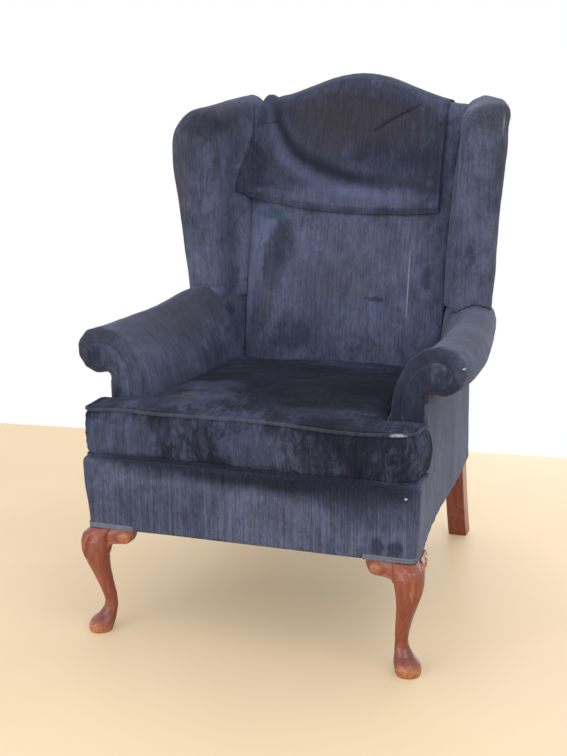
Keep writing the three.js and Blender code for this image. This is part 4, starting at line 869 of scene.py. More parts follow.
class CHAIR_OT_legs(PieceOperator, bpy.types.Operator):
    """Carves the cabriole legs, their scrolled ears and the rear legs"""

    bl_idname = "chair.legs"
    bl_label = "Legs"

    ankle_height = 105 * MM
    ankle_spread = 55 * MM
    ankle_slimming = 3 * MM
    boss_share = 0.28
    boss_radius = 11 * MM
    boss_height = 2.8 * MM
    boss_drop = 7 * MM
    ring_gap = 0.8 * MM
    ring_width = 1.2 * MM
    sweep_width = 1.4 * MM
    sweep_place = (30 * MM, -12 * MM)
    sweep_slope = 0.35
    groove = 1.6 * MM
    leaf_groove = 2.4 * MM
    leaf_tip = 150 * MM
    leaf_spread = 10.5 * MM
    leaf_line = 3 * MM
    leaf_depth = 0.6
    leaf_top = (214 * MM, 200 * MM)
    root_forward = 5 * MM
    root_drop = 17 * MM
    root_join = 12 * MM
    side_stand = 10 * MM

    def run(self, size):
        low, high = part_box("front_leg_right")
        mahogany = wood("mahogany", col("mahogany"), col("mahogany_dark"), col("mahogany_worn"),
                        wear=self.wear(high.x / MM, low.y / MM),
                        cloth=(high.z + 2 * MM, col("velvet_dark")))
        for side, sign in SIDES.items():
            node = f"front_leg_{side}"
            leg = soft_piece(node, f"cabriole_leg_{side}", size.wood_grain * 0.8, rounds=7)
            moved(leg, lambda co: along(0, -sign * self.ankle_slimming * bell(
                co[:, 2] - self.ankle_height, self.ankle_spread)))
            shape_detail(leg, self.knee_leaf(node))
            finish_piece(leg, node, "chair", mahogany)
            for face, across in (("front", 0), ("side", 1)):
                node = f"{face}_knee_ear_{side}"
                upholster(node, f"{face}_knee_scroll_{side}", "mahogany", size.wood_grain * 0.7,
                          4, self.carving(node, across), [self.blend(node, across)],
                          material=mahogany)
            paint(f"rear_leg_and_stile_{side}", mahogany, bevel=2.5 * MM)

    @staticmethod
    def wear(outer, front):
        """Rubbed toes and scrolls, darker feet, and a scratch on the right knee, in millimetres."""
        worn, dark = col("mahogany_worn"), dimmed(col("mahogany_dark"), 0.5)
        pairs = (
            ((outer - 20, front + 20, 8), (35, 35, 14), worn, 0.85, 0.55, 70),
            ((249, -407, 199), (13, 12, 13), worn, 0.45, 0.45, 120),
            ((outer - 30, front + 30, 34), (32, 32, 14), dark, 0.6, 0.6, 60),
        )
        both = [((sign * x, y, z), *rest) for (x, y, z), *rest in pairs for sign in SIDES.values()]
        return both + [((323, -425, 166), (4, 12, 22), worn, 0.55, 1.3, 420)]

    @staticmethod
    def ends(node, across):
        """Where the ear's tip and its root lie along the way that it runs."""
        low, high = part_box(node)
        return (high.y, low.y) if across else sorted((low.x, high.x), key=abs)

    def carving(self, node, across):
        """A round boss at the ear's tip, ringed by a groove that runs on along the lower edge."""
        tip, root = self.ends(node, across)
        inward = math.copysign(1, tip - root)
        centre_u = root + (tip - root) * (1 - self.boss_share)
        centre_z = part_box(node)[1].z - self.boss_drop - self.boss_radius
        sweep_u, sweep_v = self.sweep_place

        def detail(co, normals):
            u = (co[:, across] - centre_u) * inward
            v = co[:, 2] - centre_z
            away = np.hypot(u, v)
            face = ramp(np.abs(normals[:, 1 - across]), 0.5, 0.9)
            boss = np.sqrt(np.clip(1 - (away / self.boss_radius) ** 2, 0, 1)) * self.boss_height
            ring = bell(away - self.boss_radius - self.ring_gap, self.ring_width)
            sweep = bell(v - sweep_v - (u + sweep_u) * self.sweep_slope, self.sweep_width)
            sweep *= ramp(-u, 8 * MM, 16 * MM)
            return (boss - (ring + sweep) * self.groove) * face

        return detail

    def blend(self, node, across):
        """Draws the ear's root forward and down, so that it flows into the knee."""
        low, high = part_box(node)
        tip, root = self.ends(node, across)
        span = abs(root - tip)
        outward, stand = ((math.copysign(1, low.x), self.side_stand) if across else (-1, 0.0))

        def shift(co):
            near = ramp(np.abs(co[:, across] - tip), 0.15 * span, 0.65 * span)
            below = ramp(co[:, 2], high.z, high.z - 12 * MM)
            out = np.zeros_like(co)
            out[:, 1 - across] = outward * (stand + self.root_forward * near * below)
            out[:, across] = math.copysign(self.root_join, root - tip) * near
            out[:, 2] = -self.root_drop * near * ramp(co[:, 2], high.z - 28 * MM, low.z)
            return out

        return shift

    def knee_leaf(self, node):
        """Two grooves that run from the ears and meet on the ridge of the knee."""
        low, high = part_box(node)
        corner = max(abs(low.x), abs(high.x)) - low.y

        def detail(co, normals):
            off = np.abs(np.abs(co[:, 0]) + co[:, 1] - corner - 2 * low.y)
            rise = np.clip(co[:, 2] - self.leaf_tip, 0, 1)
            edge = self.leaf_spread * np.sqrt(rise / (10 * MM))
            lines = bell(off - edge, self.leaf_line) * ramp(
                co[:, 2], self.leaf_tip - 4 * MM, self.leaf_tip + 6 * MM)
            hollow = ramp(edge - off, 0, 6 * MM) * ramp(rise, 0, 20 * MM) * self.leaf_depth
            return (hollow - lines) * self.leaf_groove * ramp(co[:, 2], *self.leaf_top)

        return detail


class CHAIR_OT_seat_border(PieceOperator, bpy.types.Operator):
    """Covers the front border of the seat and adds the gimp over the legs"""

    bl_idname = "chair.seat_border"
    bl_label = "Seat border"

    slack = 1.6 * MM
    ripple = 0.7 * MM
    fullness = 0.8 * MM
    corner_draw = 5 * MM
    corner_radius = 17 * MM
    leg_lap = 3.5 * MM
    braid_step = 1.2 * MM
    braid_height = 10.2 * MM
    braid_rows = 12
    braid_turn = 1.05
    braid_base = 0.6 * MM
    braid_sink = 1.7 * MM
    braid_back = 1.9 * MM
    cord_places = (0.27, 0.73)
    cord_spread = 0.13
    cord_height = 1.1 * MM
    scallop = 0.5 * MM

    def run(self, size):
        def detail(co, normals):
            slack = fractal(co, (5, 5, 11), 4) * self.slack
            ripples = fractal(co, (26, 26, 5), 5) * self.ripple
            return (slack + ripples) * ramp(-normals[:, 1], 0.3, 0.8) + self.fullness

        def drawn(co):
            corner = ramp(co[:, 0], -0.29, -0.325) * ramp(co[:, 2], 0.24, 0.33)
            return along(0, -self.corner_draw * corner)

        upholster("front_border", "seat_border", "outside_velvet", size.pad_grain * 0.8, 3,
                  detail, [drawn], padded=0.7)
        braid = woven("gimp", "gimp", 0.55, 420.0)
        for side, sign in SIDES.items():
            self.gimp(side, sign, braid)

    def gimp(self, side, sign, braid):
        """A braid of two raised cords with a scalloped edge, bent round the corner."""
        low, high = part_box(f"gimp_{side}")
        inner, outer = sorted((abs(low.x), abs(high.x)))
        bend, rows, height = self.corner_radius, self.braid_rows, self.braid_height
        path = [(inner, low.y), (outer - bend, low.y)]
        for i in range(1, 9):
            angle = math.pi / 2 * i / 8
            path.append((outer - bend + bend * math.sin(angle),
                         low.y + bend - bend * math.cos(angle)))
        path.append((outer - self.leg_lap, high.y))
        fall = (high.z - low.z - 10 * MM) / (high.y - low.y)
        path = [Vector((x * sign, y, 0)) for x, y in path]
        points = resampled(path, self.braid_step, closed=False)
        verts = []
        for i, here in enumerate(points):
            run = points[min(i + 1, len(points) - 1)] - points[max(i - 1, 0)]
            run.normalize()
            out = Vector((run.y, -run.x, 0)) * sign
            top = high.z - fall * (here.y - low.y)
            turn = i * self.braid_turn
            for up in (r / rows for r in range(rows + 1)):
                wave = math.sin(turn + (math.pi if up > 0.5 else 0))
                cords = sum(math.exp(-((up - place) / self.cord_spread) ** 2)
                            for place in self.cord_places)
                thick = self.braid_base + self.cord_height * cords * (0.72 + 0.28 * wave)
                edge = self.scallop * math.sin(turn) * (1 if up > 0.9 else -1 if up < 0.1 else 0)
                level = top - height * (1 - up) + edge
                verts.append(here + out * (thick - self.braid_sink) + UP * level)
            for r in range(rows + 1):
                verts.append(here - out * self.braid_back + UP * (top - height * r / rows))
        piece = swept(f"gimp_braid_{side}", verts, 2 * (rows + 1))
        finish_piece(piece, f"gimp_{side}", "chair", braid)


# How each wing has settled, by side: swells as (height, spread, amount), and the upper corner's
# push outward and lift as (from this height, to this height, amount), all in metres.
WING_SWELLS = {1: ((0.895, 0.085, 0.004),), -1: ((0.875, 0.095, 0.015), (0.720, 0.090, 0.0045))}
WING_CORNERS = {1: (0.935, 0.985, 0.011), -1: (0.945, 0.995, -0.015)}
WING_LIFTS = {1: (0.940, 0.985, 0.011), -1: (0.960, 0.990, 0.003)}
ARM_SINK = 3.5 * MM
ARM_FILL = 18 * MM
ARM_DRAW = 5 * MM


def wing_fullness(co, sign):
    """The wings' stuffing stands out most at two thirds of their height."""
    high = co[:, 2]
    outer = ramp(co[:, 0] * sign, 0.27, 0.33)
    lifted = outer if sign > 0 else ramp(co[:, 0], -0.33, -0.29)
    swell = sum(amount * bell(high - level, spread) for level, spread, amount in WING_SWELLS[sign])
    (start, end, push), (low, top, rise) = WING_CORNERS[sign], WING_LIFTS[sign]
    out = (swell + push * ramp(high, start, end)) * outer * ramp(high, 0.60, 0.70)
    return along(0, sign * out) + along(2, rise * ramp(high, low, top) * lifted)


def arm_settle(co, sign):
    """The left roll is sunk in front and fills up toward the wing; the right is drawn in there."""
    if sign < 0:
        sunk = -ARM_SINK * ramp(co[:, 1], -0.16, -0.30) * ramp(co[:, 2], 0.44, 0.52)
        inner = 0.4 + 0.6 * ramp(co[:, 0], -0.37, -0.27)
        filled = ARM_FILL * inner * ramp(co[:, 1], -0.08, 0.12) * ramp(co[:, 2], 0.42, 0.56)
        return along(2, sunk + filled)
    return along(0, -ARM_DRAW * bell(co[:, 1] - 0.16, 0.12) * ramp(co[:, 0], 0.32, 0.37))


class CHAIR_OT_outside(PieceOperator, bpy.types.Operator):
    """Covers the outside of the arms, wings and back"""

    bl_idname = "chair.outside"
    bl_label = "Outside covers"

    slack = 1.2 * MM
    inward = 7 * MM
    reach_up = 4 * MM
    hang_in = 6 * MM

    def run(self, size):
        for side, sign in SIDES.items():
            for panel in ("arm", "wing"):
                node = f"outside_{panel}_{side}"
                upholster(node, f"outer_{panel}_{side}_cover", "outside_velvet", size.pad_grain, 2,
                          self.side_slack, self.shifts(panel, side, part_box(node)[1].z),
                          thicken=(-sign * self.inward, 0, 0), padded=0.8)
        upholster("outside_back", "outer_back_cover", "outside_velvet", size.pad_grain, 3,
                  self.back_slack, thicken=(0, -self.inward, 0),
                  material=worn_velvet("outer_back"), padded=0.8)

    def back_slack(self, co, normals):
        return fractal(co, 4.0, 11) * self.slack

    def side_slack(self, co, normals):
        return self.back_slack(co, normals) * ramp(np.abs(normals[:, 0]), 0.5, 0.9)

    def shifts(self, panel, side, top):
        """The arm's panel reaches up under the roll, and hangs in at the bottom on the right."""
        out = []
        if panel == "arm":
            out.append(lambda co: along(2, self.reach_up * ramp(
                co[:, 2], top - 20 * MM, top)))
            if side == "right":
                out.append(lambda co: along(0, -self.hang_in * ramp(co[:, 2], 0.34, 0.24)
                                            * bell(co[:, 1] + 0.12, 0.15)))
        return out + [lambda co: wing_fullness(co, SIDES[side])]


class CHAIR_OT_arms(PieceOperator, bpy.types.Operator):
    """Pads the arms and sets in their facings"""

    bl_idname = "chair.arms"
    bl_label = "Arms"

    lump = 2.2 * MM
    pleat = 0.9 * MM
    roll_radius = 50 * MM
    seeds = {"right": 21, "left": 22}
    facing_creases = {"right": 1.3 * MM, "left": 0.7 * MM}
    facing_grain = 2.5 * MM
    facing_fill = 1 * MM
    facing_lump = 1.2 * MM
    welt_sink = 1.2 * MM
    welt_stand = 1.6 * MM

    def run(self, size):
        for side, sign in SIDES.items():
            node = f"inside_arm_{side}"
            against = [f"{other}_{side}" for other in ("outside_arm", "inside_wing", "arm_facing")]
            low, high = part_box(node)
            roll_x = sign * (max(abs(low.x), abs(high.x)) - self.roll_radius)
            roll_z = high.z - self.roll_radius
            seed = self.seeds[side]

            def detail(co, normals):
                lumps = fractal(co, (6, 6, 6), seed) * self.lump
                turn = np.arctan2(co[:, 2] - roll_z, (co[:, 0] - roll_x) * sign)
                near = ramp(co[:, 1], low.y + 75 * MM, low.y + 4 * MM)
                waves = np.sin(turn * 11 + seed + fractal(co, 9.0, 24))
                return lumps + waves * ramp(turn, -2.2, -0.4) * near * self.pleat

            def settle(co):
                return arm_settle(co, sign)

            upholster(node, f"padded_arm_{side}", "arm_velvet", size.pad_grain, 6, detail,
                      [settle], against=against + ["seat_deck", "inside_back", "front_border"],
                      padded=0.7)
            self.facing(side, size, settle)

    def facing(self, side, size, settle):
        """The puffed panel on the front of the arm, and the welt round it."""
        node = f"arm_facing_{side}"

        def puff(co, normals):
            creases = fractal(co, (48, 48, 30), 33) * self.facing_creases[side]
            puffed = self.facing_fill + fractal(co, 18.0, 31) * self.facing_lump + creases
            return ramp(-normals[:, 1], 0.5, 1.0) * puffed

        upholster(node, f"padded_facing_{side}", "facing_velvet", self.facing_grain, 5, puff,
                  [settle], padded=0.6)
        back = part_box(node)[1].y - self.welt_sink
        points = [Vector((p.x, back, p.z)) for p in resampled(front_rim(node), 4 * MM)]
        bottom = min(p.z for p in points) + 3 * MM
        start = next(i for i, p in enumerate(points) if p.z <= bottom)
        kept = [p for p in points[start:] + points[:start] if p.z > bottom]
        centre = sum(kept, Vector()) / len(kept)
        outline = [p + (p - centre).normalized() * self.welt_stand for p in kept]
        welt = cord(f"facing_welt_{side}", outline, size.welt_radius, 8, "chair", "facing_velvet")
        moved(welt, settle)


class CHAIR_OT_wings(PieceOperator, bpy.types.Operator):
    """Pads the wings"""

    bl_idname = "chair.wings"
    bl_label = "Wings"

    seam_level = 598 * MM
    seam_depth = 3 * MM
    lump = 2.2 * MM
    fullness = 1.8 * MM
    seeds = {"right": 41, "left": 42}

    def run(self, size):
        for side, sign in SIDES.items():
            def detail(co, normals):
                free = ramp(co[:, 2], 0.60, 0.66)
                lumps = fractal(co, (5, 5, 5), self.seeds[side]) * self.lump
                level = co[:, 2] - self.seam_level - 0.05 * (co[:, 1] - 0.124)
                inner = ramp(0.34 - np.abs(co[:, 0]), 0.0, 0.02)
                seam = bell(level, 2.2 * MM) * self.seam_depth * inner if sign < 0 else 0
                return (lumps + self.fullness) * free - seam

            upholster(f"inside_wing_{side}", f"padded_wing_{side}", "back_velvet",
                      size.pad_grain, 16, detail, [lambda co: wing_fullness(co, sign)],
                      against=[f"inside_arm_{side}", "inside_back", "outside_back"], keep=0.4,
                      material=worn_velvet("wing_velvet"), padded=0.7)


class CHAIR_OT_back(PieceOperator, bpy.types.Operator):
    """Pads the inside back"""

    bl_idname = "chair.back"
    bl_label = "Back"

    lump = 2.5 * MM
    fold_depth = 2.5 * MM

    def run(self, size):
        def detail(co, normals):
            x, z = co[:, 0], co[:, 2]
            lumps = fractal(co, (5, 5, 4), 51) * self.lump
            fold = bell(x + 0.155 + 0.10 * (z - 0.62), 10 * MM)
            fold *= ramp(z, 0.50, 0.58) * ramp(z, 0.80, 0.72) * self.fold_depth
            return (lumps - fold) * ramp(-normals[:, 1], 0.2, 0.8)

        against = [f"{other}_{side}" for other in ("inside_arm", "inside_wing") for side in SIDES]
        upholster("inside_back", "padded_back", "back_velvet", size.pad_grain, 6, detail,
                  against=against, padded=0.6)


class CHAIR_OT_cushion(PieceOperator, bpy.types.Operator):
    """Fills the loose seat cushion and sews on its piping"""

    bl_idname = "chair.cushion"
    bl_label = "Seat cushion"

    seat_fall = 0.031
    front_y = -411 * MM
    seat_level = 361.3 * MM
    wall_height = 91 * MM
    wall_lump = 2 * MM
    top_lump = 4.5 * MM
    pucker = 1.2 * MM
    wrinkle = 0.7 * MM
    wave = 3 * MM
    corner_drop = 4 * MM
    upper_dip = 6 * MM
    lower_dip = 3.5 * MM
    corner_draw = 13 * MM
    corner_round = 10 * MM
    left_straightening = 5 * MM

    def run(self, size):
        def detail(co, normals):
            up = self.height_share(co)
            wall = (ramp(1 - np.abs(normals[:, 2]), 0.3, 0.8)
                    * np.sin(np.clip(up, 0, 1) * math.pi) ** 0.6)
            top = ramp(normals[:, 2], 0.3, 0.8)
            lumps = fractal(co, (7, 7, 7), 61) * (self.wall_lump * wall + self.top_lump * top)
            near_seam = np.exp(-np.minimum(np.abs(up), np.abs(1 - up)) * 8)
            puckers = fractal(co, (38, 38, 4), 62) * self.pucker * wall * (0.3 + near_seam)
            corner = bell(np.abs(co[:, 0]) - 0.327, 0.035) * bell(co[:, 1] + 0.397, 0.040)
            folds = np.sin(co[:, 2] * 380 + fractal(co, (24, 24, 12), 64) * 6)
            side = ramp(np.abs(normals[:, 0]), 0.4, 0.9)
            return (lumps + puckers + folds * self.wrinkle * corner * wall
                    + size.cushion_swell * wall * (0.25 + 0.45 * side))

        upholster("seat_cushion", "loose_cushion", "cushion_velvet", size.pad_grain * 0.9, 5,
                  detail, [self.settle], body="cushion", padded=0.7)
        for level in ("top", "bottom"):
            upholster(f"cushion_piping_{level}", f"piping_{level}", "cushion_piping",
                      size.piping_grain, 3, shifts=[self.settle], body="cushion")

    def height_share(self, co):
        """Share of the cushion's height between its two rows of piping."""
        base = self.seat_level - self.seat_fall * (co[:, 1] - self.front_y)
        return (co[:, 2] - base) / self.wall_height

    def settle(self, co):
        """The upper edge waves and dips, and the front corners drop and are drawn in."""
        x, y = co[:, 0], co[:, 1]
        up = np.clip(self.height_share(co), 0, 1)
        front = ramp(y, -0.20, -0.38)
        wave = fractal(co * np.array((1, 1, 0)), (7, 7, 1), 65) * self.wave
        corner = bell(np.abs(x) - 0.334, 0.06) * bell(y + 0.404, 0.08)
        lift = (up * wave - self.corner_drop * corner
                - self.upper_dip * bell(x - 0.20, 0.09) * front * up
                - self.lower_dip * bell(x - 0.12, 0.14) * front * (1 - up))
        straight = self.left_straightening * ramp(-x, 0.318, 0.334) * 4 * up * (1 - up)
        drawn = self.corner_draw * ramp(x, 0.22, 0.33) * ramp(y, -0.28, -0.36)
        rounded = self.corner_round * ramp(x, 0.27, 0.33) * ramp(y, -0.36, -0.40)
        return np.stack((straight - drawn, rounded, lift), axis=1)


class CHAIR_OT_underside(PieceOperator, bpy.types.Operator):
    """Lays the deck under the cushion and the cloth under the seat"""

    bl_idname = "chair.underside"
    bl_label = "Deck and dust cloth"

    def run(self, size):
        upholster("seat_deck", "deck_pad", "deck_cloth", 8 * MM, 4,
                  lambda co, normals: fractal(co, 6.0, 71) * MM,
                  material=woven("deck_cloth", "deck_cloth", 0.6, 500.0), padded=0.6)
        upholster("dust_cover", "dust_cloth", "dust_cloth", 6 * MM, 2, thicken=(0, 0, 5 * MM),
                  material=woven("dust_cloth", "dust_cloth", 0.6, 600.0))


class CHAIR_OT_head_cover(PieceOperator, bpy.types.Operator):
    """Drapes the loose cloth over the top of the back"""

    bl_idname = "chair.head_cover"
    bl_label = "Head cover"

    columns = 150
    front_rows = 96
    arch_rows = 30
    rear_rows = 24
    rear_drop = 76 * MM
    corner_inset = 32 * MM
    hem_rise = 47.5 * MM
    arch_half = 248 * MM
    arch_crown = 1006 * MM
    arch_fall = 62 * MM
    hem_bow = 0.72
    hem_roundness = 0.55
    stitch_rows = (3, 6)
    stitch_step = 2.5 * MM
    ripple_share = 0.985
    waves = 2.4 * MM
    ripples = 0.8 * MM
    seam_depth = 1.6 * MM
    # Line, width and depth of each crease; and the swag's valley and ridge as the way down from
    # the line, width and rise.
    creases = ((CREASES[0], 5 * MM, 3.5 * MM), (CREASES[1], 4 * MM, 2 * MM))
    swags = ((10 * MM, 12 * MM, -7 * MM), (-24 * MM, 20 * MM, 6.5 * MM))
    peak_forward = 6 * MM
    peak_rise = 13 * MM

    def run(self, size):
        self.low, self.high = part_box("head_cover")
        self.shape = search_tree([welded_mesh("head_cover")])
        outer = self.folded(np.array([self.column(i / self.columns, size.hem_drop)
                                      for i in range(self.columns + 1)]))
        piece = self.cloth("loose_head_cover", outer, size.cover_thickness)
        finish_piece(piece, "head_cover", "cover", worn_velvet("head_cloth"))
        self.area(outer)
        self.hem(outer, size.stitch_radius)

    @staticmethod
    def area(grid):
        """The outer face's area, less what its finest ripples add."""
        a = grid[1:, :-1] - grid[:-1, :-1]
        b = grid[:-1, 1:] - grid[:-1, :-1]
        whole = float(np.linalg.norm(np.cross(a, b), axis=2).sum())
        return whole * CHAIR_OT_head_cover.ripple_share

    def column(self, share, hem_drop):
        """One line of points up the front, over the top and down behind."""
        left, right = self.low.x, self.high.x
        dip = math.sin(share * math.pi * self.hem_bow) ** self.hem_roundness
        hem_z = self.low.z + self.hem_rise - hem_drop * dip
        low_x = left + (right - left) * share
        top_x = max(low_x, left + self.corner_inset)
        bend = math.sin(min(abs(top_x) / self.arch_half, 1) * math.pi / 2) ** 2
        arch_z = self.arch_crown - self.arch_fall * bend
        points = []
        for r in range(self.front_rows):
            up = r / self.front_rows
            x = low_x + (top_x - low_x) * up ** 2
            points.append(self.hit(x, hem_z + (arch_z - hem_z) * up, 1))
        centre = Vector((top_x, self.middle(top_x, arch_z), arch_z))
        for r in range(self.arch_rows + 1):
            angle = math.pi * r / self.arch_rows
            away = Vector((0, -math.cos(angle), math.sin(angle)))
            found = self.shape.ray_cast(centre + away * 0.3, -away, 0.3)[0]
            points.append(found or points[-1])
        for r in range(1, self.rear_rows + 1):
            points.append(self.hit(top_x, arch_z - self.rear_drop * r / self.rear_rows, -1))
        return points

    def face(self, x, z, way):
        """The CAD cloth's face that a ray along y meets first, or None."""
        return self.shape.ray_cast(Vector((x, -way, z)), Vector((0, way, 0)))[0]

    def middle(self, x, z):
        """Halfway through the cloth's arch; at its very edge a little further in."""
        for inset in (x, x * 0.97):
            front, rear = self.face(inset, z, 1), self.face(inset, z, -1)
            if front is not None and rear is not None:
                return (front.y + rear.y) / 2
        raise RuntimeError("the head cover has no arch here")

    def hit(self, x, z, way):
        """A place on the cloth's outer face; at its very edge the nearest that it has."""
        found = self.face(x, z, way)
        if found is None:
            found = self.shape.find_nearest(Vector((x, 0.3 if way > 0 else 0.42, z)))[0]
        return Vector((x, found.y, z))

    def folded(self, grid):
        """Adds the finer folds of the real cloth to its main ones."""
        flat = grid.reshape(-1, 3).copy()
        x, y, z = flat.copy().T
        front, seams = np.zeros((2, *grid.shape[:2]))
        front[:, :self.front_rows] = 1
        seams[:, 4] = 1
        seams[3, :self.front_rows] = seams[-4, :self.front_rows] = 1
        front = front.ravel()
        push = (fractal(flat, (9, 9, 5), 81) * self.waves
                + fractal(flat, (26, 26, 12), 82) * self.ripples
                - sum(self.crease(x, z, line, width) * depth for line, width, depth in self.creases)
                + sum(self.swag(x, z, below, width) * rise for below, width, rise in self.swags)
                - seams.ravel() * self.seam_depth)
        peak = bell(x + 0.214, 0.013) * ramp(z, 0.955, 0.985) * ramp(y, 0.40, 0.36)
        flat[:, 1] -= push * front + peak * self.peak_forward
        flat[:, 2] += push * (1 - front) * 0.5 + peak * self.peak_rise
        return flat.reshape(grid.shape)

    @staticmethod
    def swag(x, z, below, width):
        """A long fold that falls from the upper left corner and runs out to the right."""
        xs, zs = zip(*SWAG)
        steep = np.interp(x, xs, np.gradient(zs, xs))
        off = (np.interp(x, xs, zs) - z - below) / np.sqrt(1 + steep ** 2)
        return bell(off, width) * ramp(x, -0.215, -0.185) * ramp(x, 0.18, 0.02)

    @staticmethod
    def crease(x, z, line, width):
        """A straight crease on the front, from the line's last place to its first."""
        a, b = np.array(line[-1]), np.array(line[0])
        length = np.linalg.norm(b - a)
        run = (b - a) / length
        px, pz = x - a[0], z - a[1]
        t = (px * run[0] + pz * run[1]) / length
        off = px * run[1] - pz * run[0]
        return bell(off, width) * ramp(t, -0.08, 0.12) * ramp(t, 1.05, 0.75)

    @staticmethod
    def cloth(name, outer, thickness):
        """A closed sheet: an outer grid, an inner one and a rim."""
        columns, rows = outer.shape[:2]
        normal = np.cross(np.gradient(outer, axis=1), np.gradient(outer, axis=0))
        normal /= np.maximum(np.linalg.norm(normal, axis=2, keepdims=True), 1e-9)
        if normal[columns // 2, 5, 1] > 0:
            normal = -normal
        inner = outer - normal * thickness
        points = np.concatenate([outer.reshape(-1, 3), inner.reshape(-1, 3)])
        total = columns * rows
        faces = []
        for i in range(columns - 1):
            for r in range(rows - 1):
                a = i * rows + r
                faces.append((a, a + 1, a + rows + 1, a + rows))
                faces.append((total + a, total + a + rows, total + a + rows + 1, total + a + 1))
        border = [(i * rows, (i + 1) * rows) for i in range(columns - 1)]
        border += [(total - rows + r, total - rows + r + 1) for r in range(rows - 1)]
        border += [((i + 2) * rows - 1, (i + 1) * rows - 1) for i in range(columns - 1)]
        border += [(r + 1, r) for r in range(rows - 1)]
        return built(name, points, faces + [(a, b, total + b, total + a) for a, b in border])

    def hem(self, outer, radius):
        """Two rows of stitching along the front hem."""
        pieces = []
        for number, row in enumerate(self.stitch_rows, 1):
            path = [Vector(outer[i, row]) - Vector((0, radius * 0.6, 0))
                    for i in range(2, self.columns - 1)]
            pieces.append(cord(f"hem_stitching_{number}",
                               resampled(path, self.stitch_step, closed=False),
                               radius, 5, "cover", "head_cloth"))
        return pieces


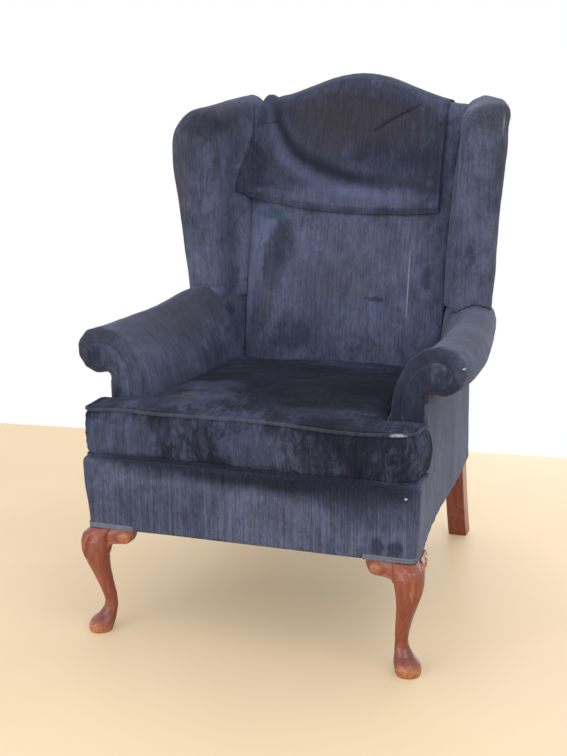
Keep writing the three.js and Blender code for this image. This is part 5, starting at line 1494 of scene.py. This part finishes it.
class CHAIR_OT_stage(PieceOperator, bpy.types.Operator):
    """Sets the floor, the light and the camera"""

    bl_idname = "chair.stage"
    bl_label = "Stage"

    camera_place = (0.8536, -2.5462, 1.0954)
    camera_yaw = 0.3471759
    camera_pitch = 0.2395601
    camera_roll = -0.0123977
    focal_pixels = 1317.89
    image_height = 756
    wall_left = Vector((-1.317, 0.861, 0))
    wall_right = Vector((0.400, 1.018, 0))
    wall_reach = 6
    floor_depth = 9
    shadow_lift = 0.24
    daylight = (1.0, 0.985, 0.96)
    daylight_strength = 0.90
    # Name, place, target, width and power of each lamp.
    lamps = (
        ("key", (1.9, -1.6, 2.6), (0.0, 0.0, 0.5), 2.2, 27),
        ("fill", (-1.1, -2.7, 1.15), (0.0, 0.0, 0.12), 2.4, 39),
        ("top", (0.2, 1.4, 3.0), (0.0, 0.9, 0.3), 2.4, 22),
        ("low", (0.4, 2.9, 0.7), (0.0, 0.0, 0.05), 2.0, 36),
    )

    def run(self, size):
        self.floor()
        self.surroundings()
        for lamp in self.lamps:
            self.area(*lamp)
        self.camera()

    def floor(self):
        """A plain floor up to the wall, whose shadow the camera sees a little paler."""
        run = (self.wall_right - self.wall_left).normalized()
        front = Vector((run.y, -run.x, 0)) * self.floor_depth
        ends = [self.wall_left - run * self.wall_reach, self.wall_right + run * self.wall_reach]
        floor = built("floor", [*ends, ends[1] + front, ends[0] + front], [(0, 1, 2, 3)])
        if floor.data.polygons[0].normal.z < 0:
            floor.data.flip_normals()
        finish = Finish("floor", 0.55, Specular_IOR_Level=0.3)
        base = col("floor")
        tone = finish.spread(finish.noise(1.5, 3.0, 0.5), 0.3, 0.7)
        floor.data.materials.append(finish.done(finish.mix(tone, base, dimmed(base, 0.94))))
        camera_ray = finish.node("ShaderNodeLightPath").outputs["Is Camera Ray"]
        finish.shader_mix(finish.math("MULTIPLY", camera_ray, self.shadow_lift),
                          finish.shader.outputs["BSDF"],
                          finish.lamp("ShaderNodeEmission", dimmed(base, 1.08)),
                          finish.tree.nodes["Material Output"].inputs["Surface"])

    def surroundings(self):
        """Even daylight, seen as a pale wall by the camera, in gloss and through glass."""
        world = bpy.context.scene.world or bpy.data.worlds.new("studio")
        bpy.context.scene.world = world
        world.use_nodes = True
        world.node_tree.nodes.clear()
        nodes = Nodes(world.node_tree)
        path = nodes.node("ShaderNodeLightPath").outputs
        seen = nodes.math("MAXIMUM", path["Is Camera Ray"], nodes.math(
            "MAXIMUM", path["Is Glossy Ray"], path["Is Transmission Ray"]))
        nodes.shader_mix(seen,
                         nodes.lamp("ShaderNodeBackground", self.daylight, self.daylight_strength),
                         nodes.lamp("ShaderNodeBackground", col("wall")),
                         nodes.node("ShaderNodeOutputWorld").inputs["Surface"])

    @staticmethod
    def area(name, place, target, width, power):
        lamp = bpy.data.lights.new(name, "AREA")
        lamp.size = width
        lamp.energy = power
        obj = bpy.data.objects.new(name, lamp)
        obj.location = place
        aim = Vector(target) - Vector(place)
        obj.rotation_euler = aim.to_track_quat("-Z", "Y").to_euler()
        bpy.context.scene.collection.objects.link(obj)

    def camera(self):
        yaw, pitch, roll = self.camera_yaw, self.camera_pitch, self.camera_roll
        ahead = Vector((-math.sin(yaw) * math.cos(pitch), math.cos(yaw) * math.cos(pitch),
                        -math.sin(pitch)))
        right = Vector((math.cos(yaw), math.sin(yaw), 0))
        up = right.cross(ahead)
        c, s = math.cos(roll), math.sin(roll)
        right, up = right * c + up * s, up * c - right * s
        lens = bpy.data.cameras.new("camera")
        lens.sensor_fit = "AUTO"
        lens.sensor_width = 36
        lens.lens = self.focal_pixels * lens.sensor_width / self.image_height
        camera = bpy.data.objects.new("camera", lens)
        turn = Matrix((right, up, -ahead)).transposed()
        camera.matrix_world = Matrix.Translation(self.camera_place) @ turn.to_4x4()
        bpy.context.scene.collection.objects.link(camera)
        bpy.context.scene.camera = camera


PIECES = (
    CHAIR_OT_frame, CHAIR_OT_legs, CHAIR_OT_seat_border, CHAIR_OT_outside, CHAIR_OT_arms,
    CHAIR_OT_wings, CHAIR_OT_back, CHAIR_OT_cushion, CHAIR_OT_underside, CHAIR_OT_head_cover,
    CHAIR_OT_stage,
)


class CHAIR_PT_panel(bpy.types.Panel):
    """Lists the armchair's pieces, sizes and colours"""

    bl_label = "Wingback Armchair"
    bl_idname = "CHAIR_PT_panel"
    bl_space_type = "VIEW_3D"
    bl_region_type = "UI"
    bl_category = "Armchair"

    def draw(self, context):
        for piece in PIECES:
            self.layout.operator(piece.bl_idname)
        for group in (context.scene.chair_sizes, context.scene.chair_colours):
            box = self.layout.box()
            for name in group.bl_rna.properties.keys():
                if name not in ("rna_type", "name"):
                    box.prop(group, name)


CLASSES = (ChairSizes, ChairColours, *PIECES, CHAIR_PT_panel)


def register():
    for each in CLASSES:
        bpy.utils.register_class(each)
    bpy.types.Scene.chair_sizes = bpy.props.PointerProperty(type=ChairSizes)
    bpy.types.Scene.chair_colours = bpy.props.PointerProperty(type=ChairColours)


def unregister():
    del bpy.types.Scene.chair_sizes
    del bpy.types.Scene.chair_colours
    for each in reversed(CLASSES):
        bpy.utils.unregister_class(each)


def main():
    register()
    bpy.context.scene.view_settings.view_transform = "Standard"
    bpy.ops.chair.frame()
    bpy.ops.chair.legs()
    bpy.ops.chair.seat_border()
    bpy.ops.chair.outside()
    bpy.ops.chair.arms()
    bpy.ops.chair.wings()
    bpy.ops.chair.back()
    bpy.ops.chair.cushion()
    bpy.ops.chair.underside()
    bpy.ops.chair.head_cover()
    bpy.ops.chair.stage()
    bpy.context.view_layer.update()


if __name__ == "__main__":
    main()
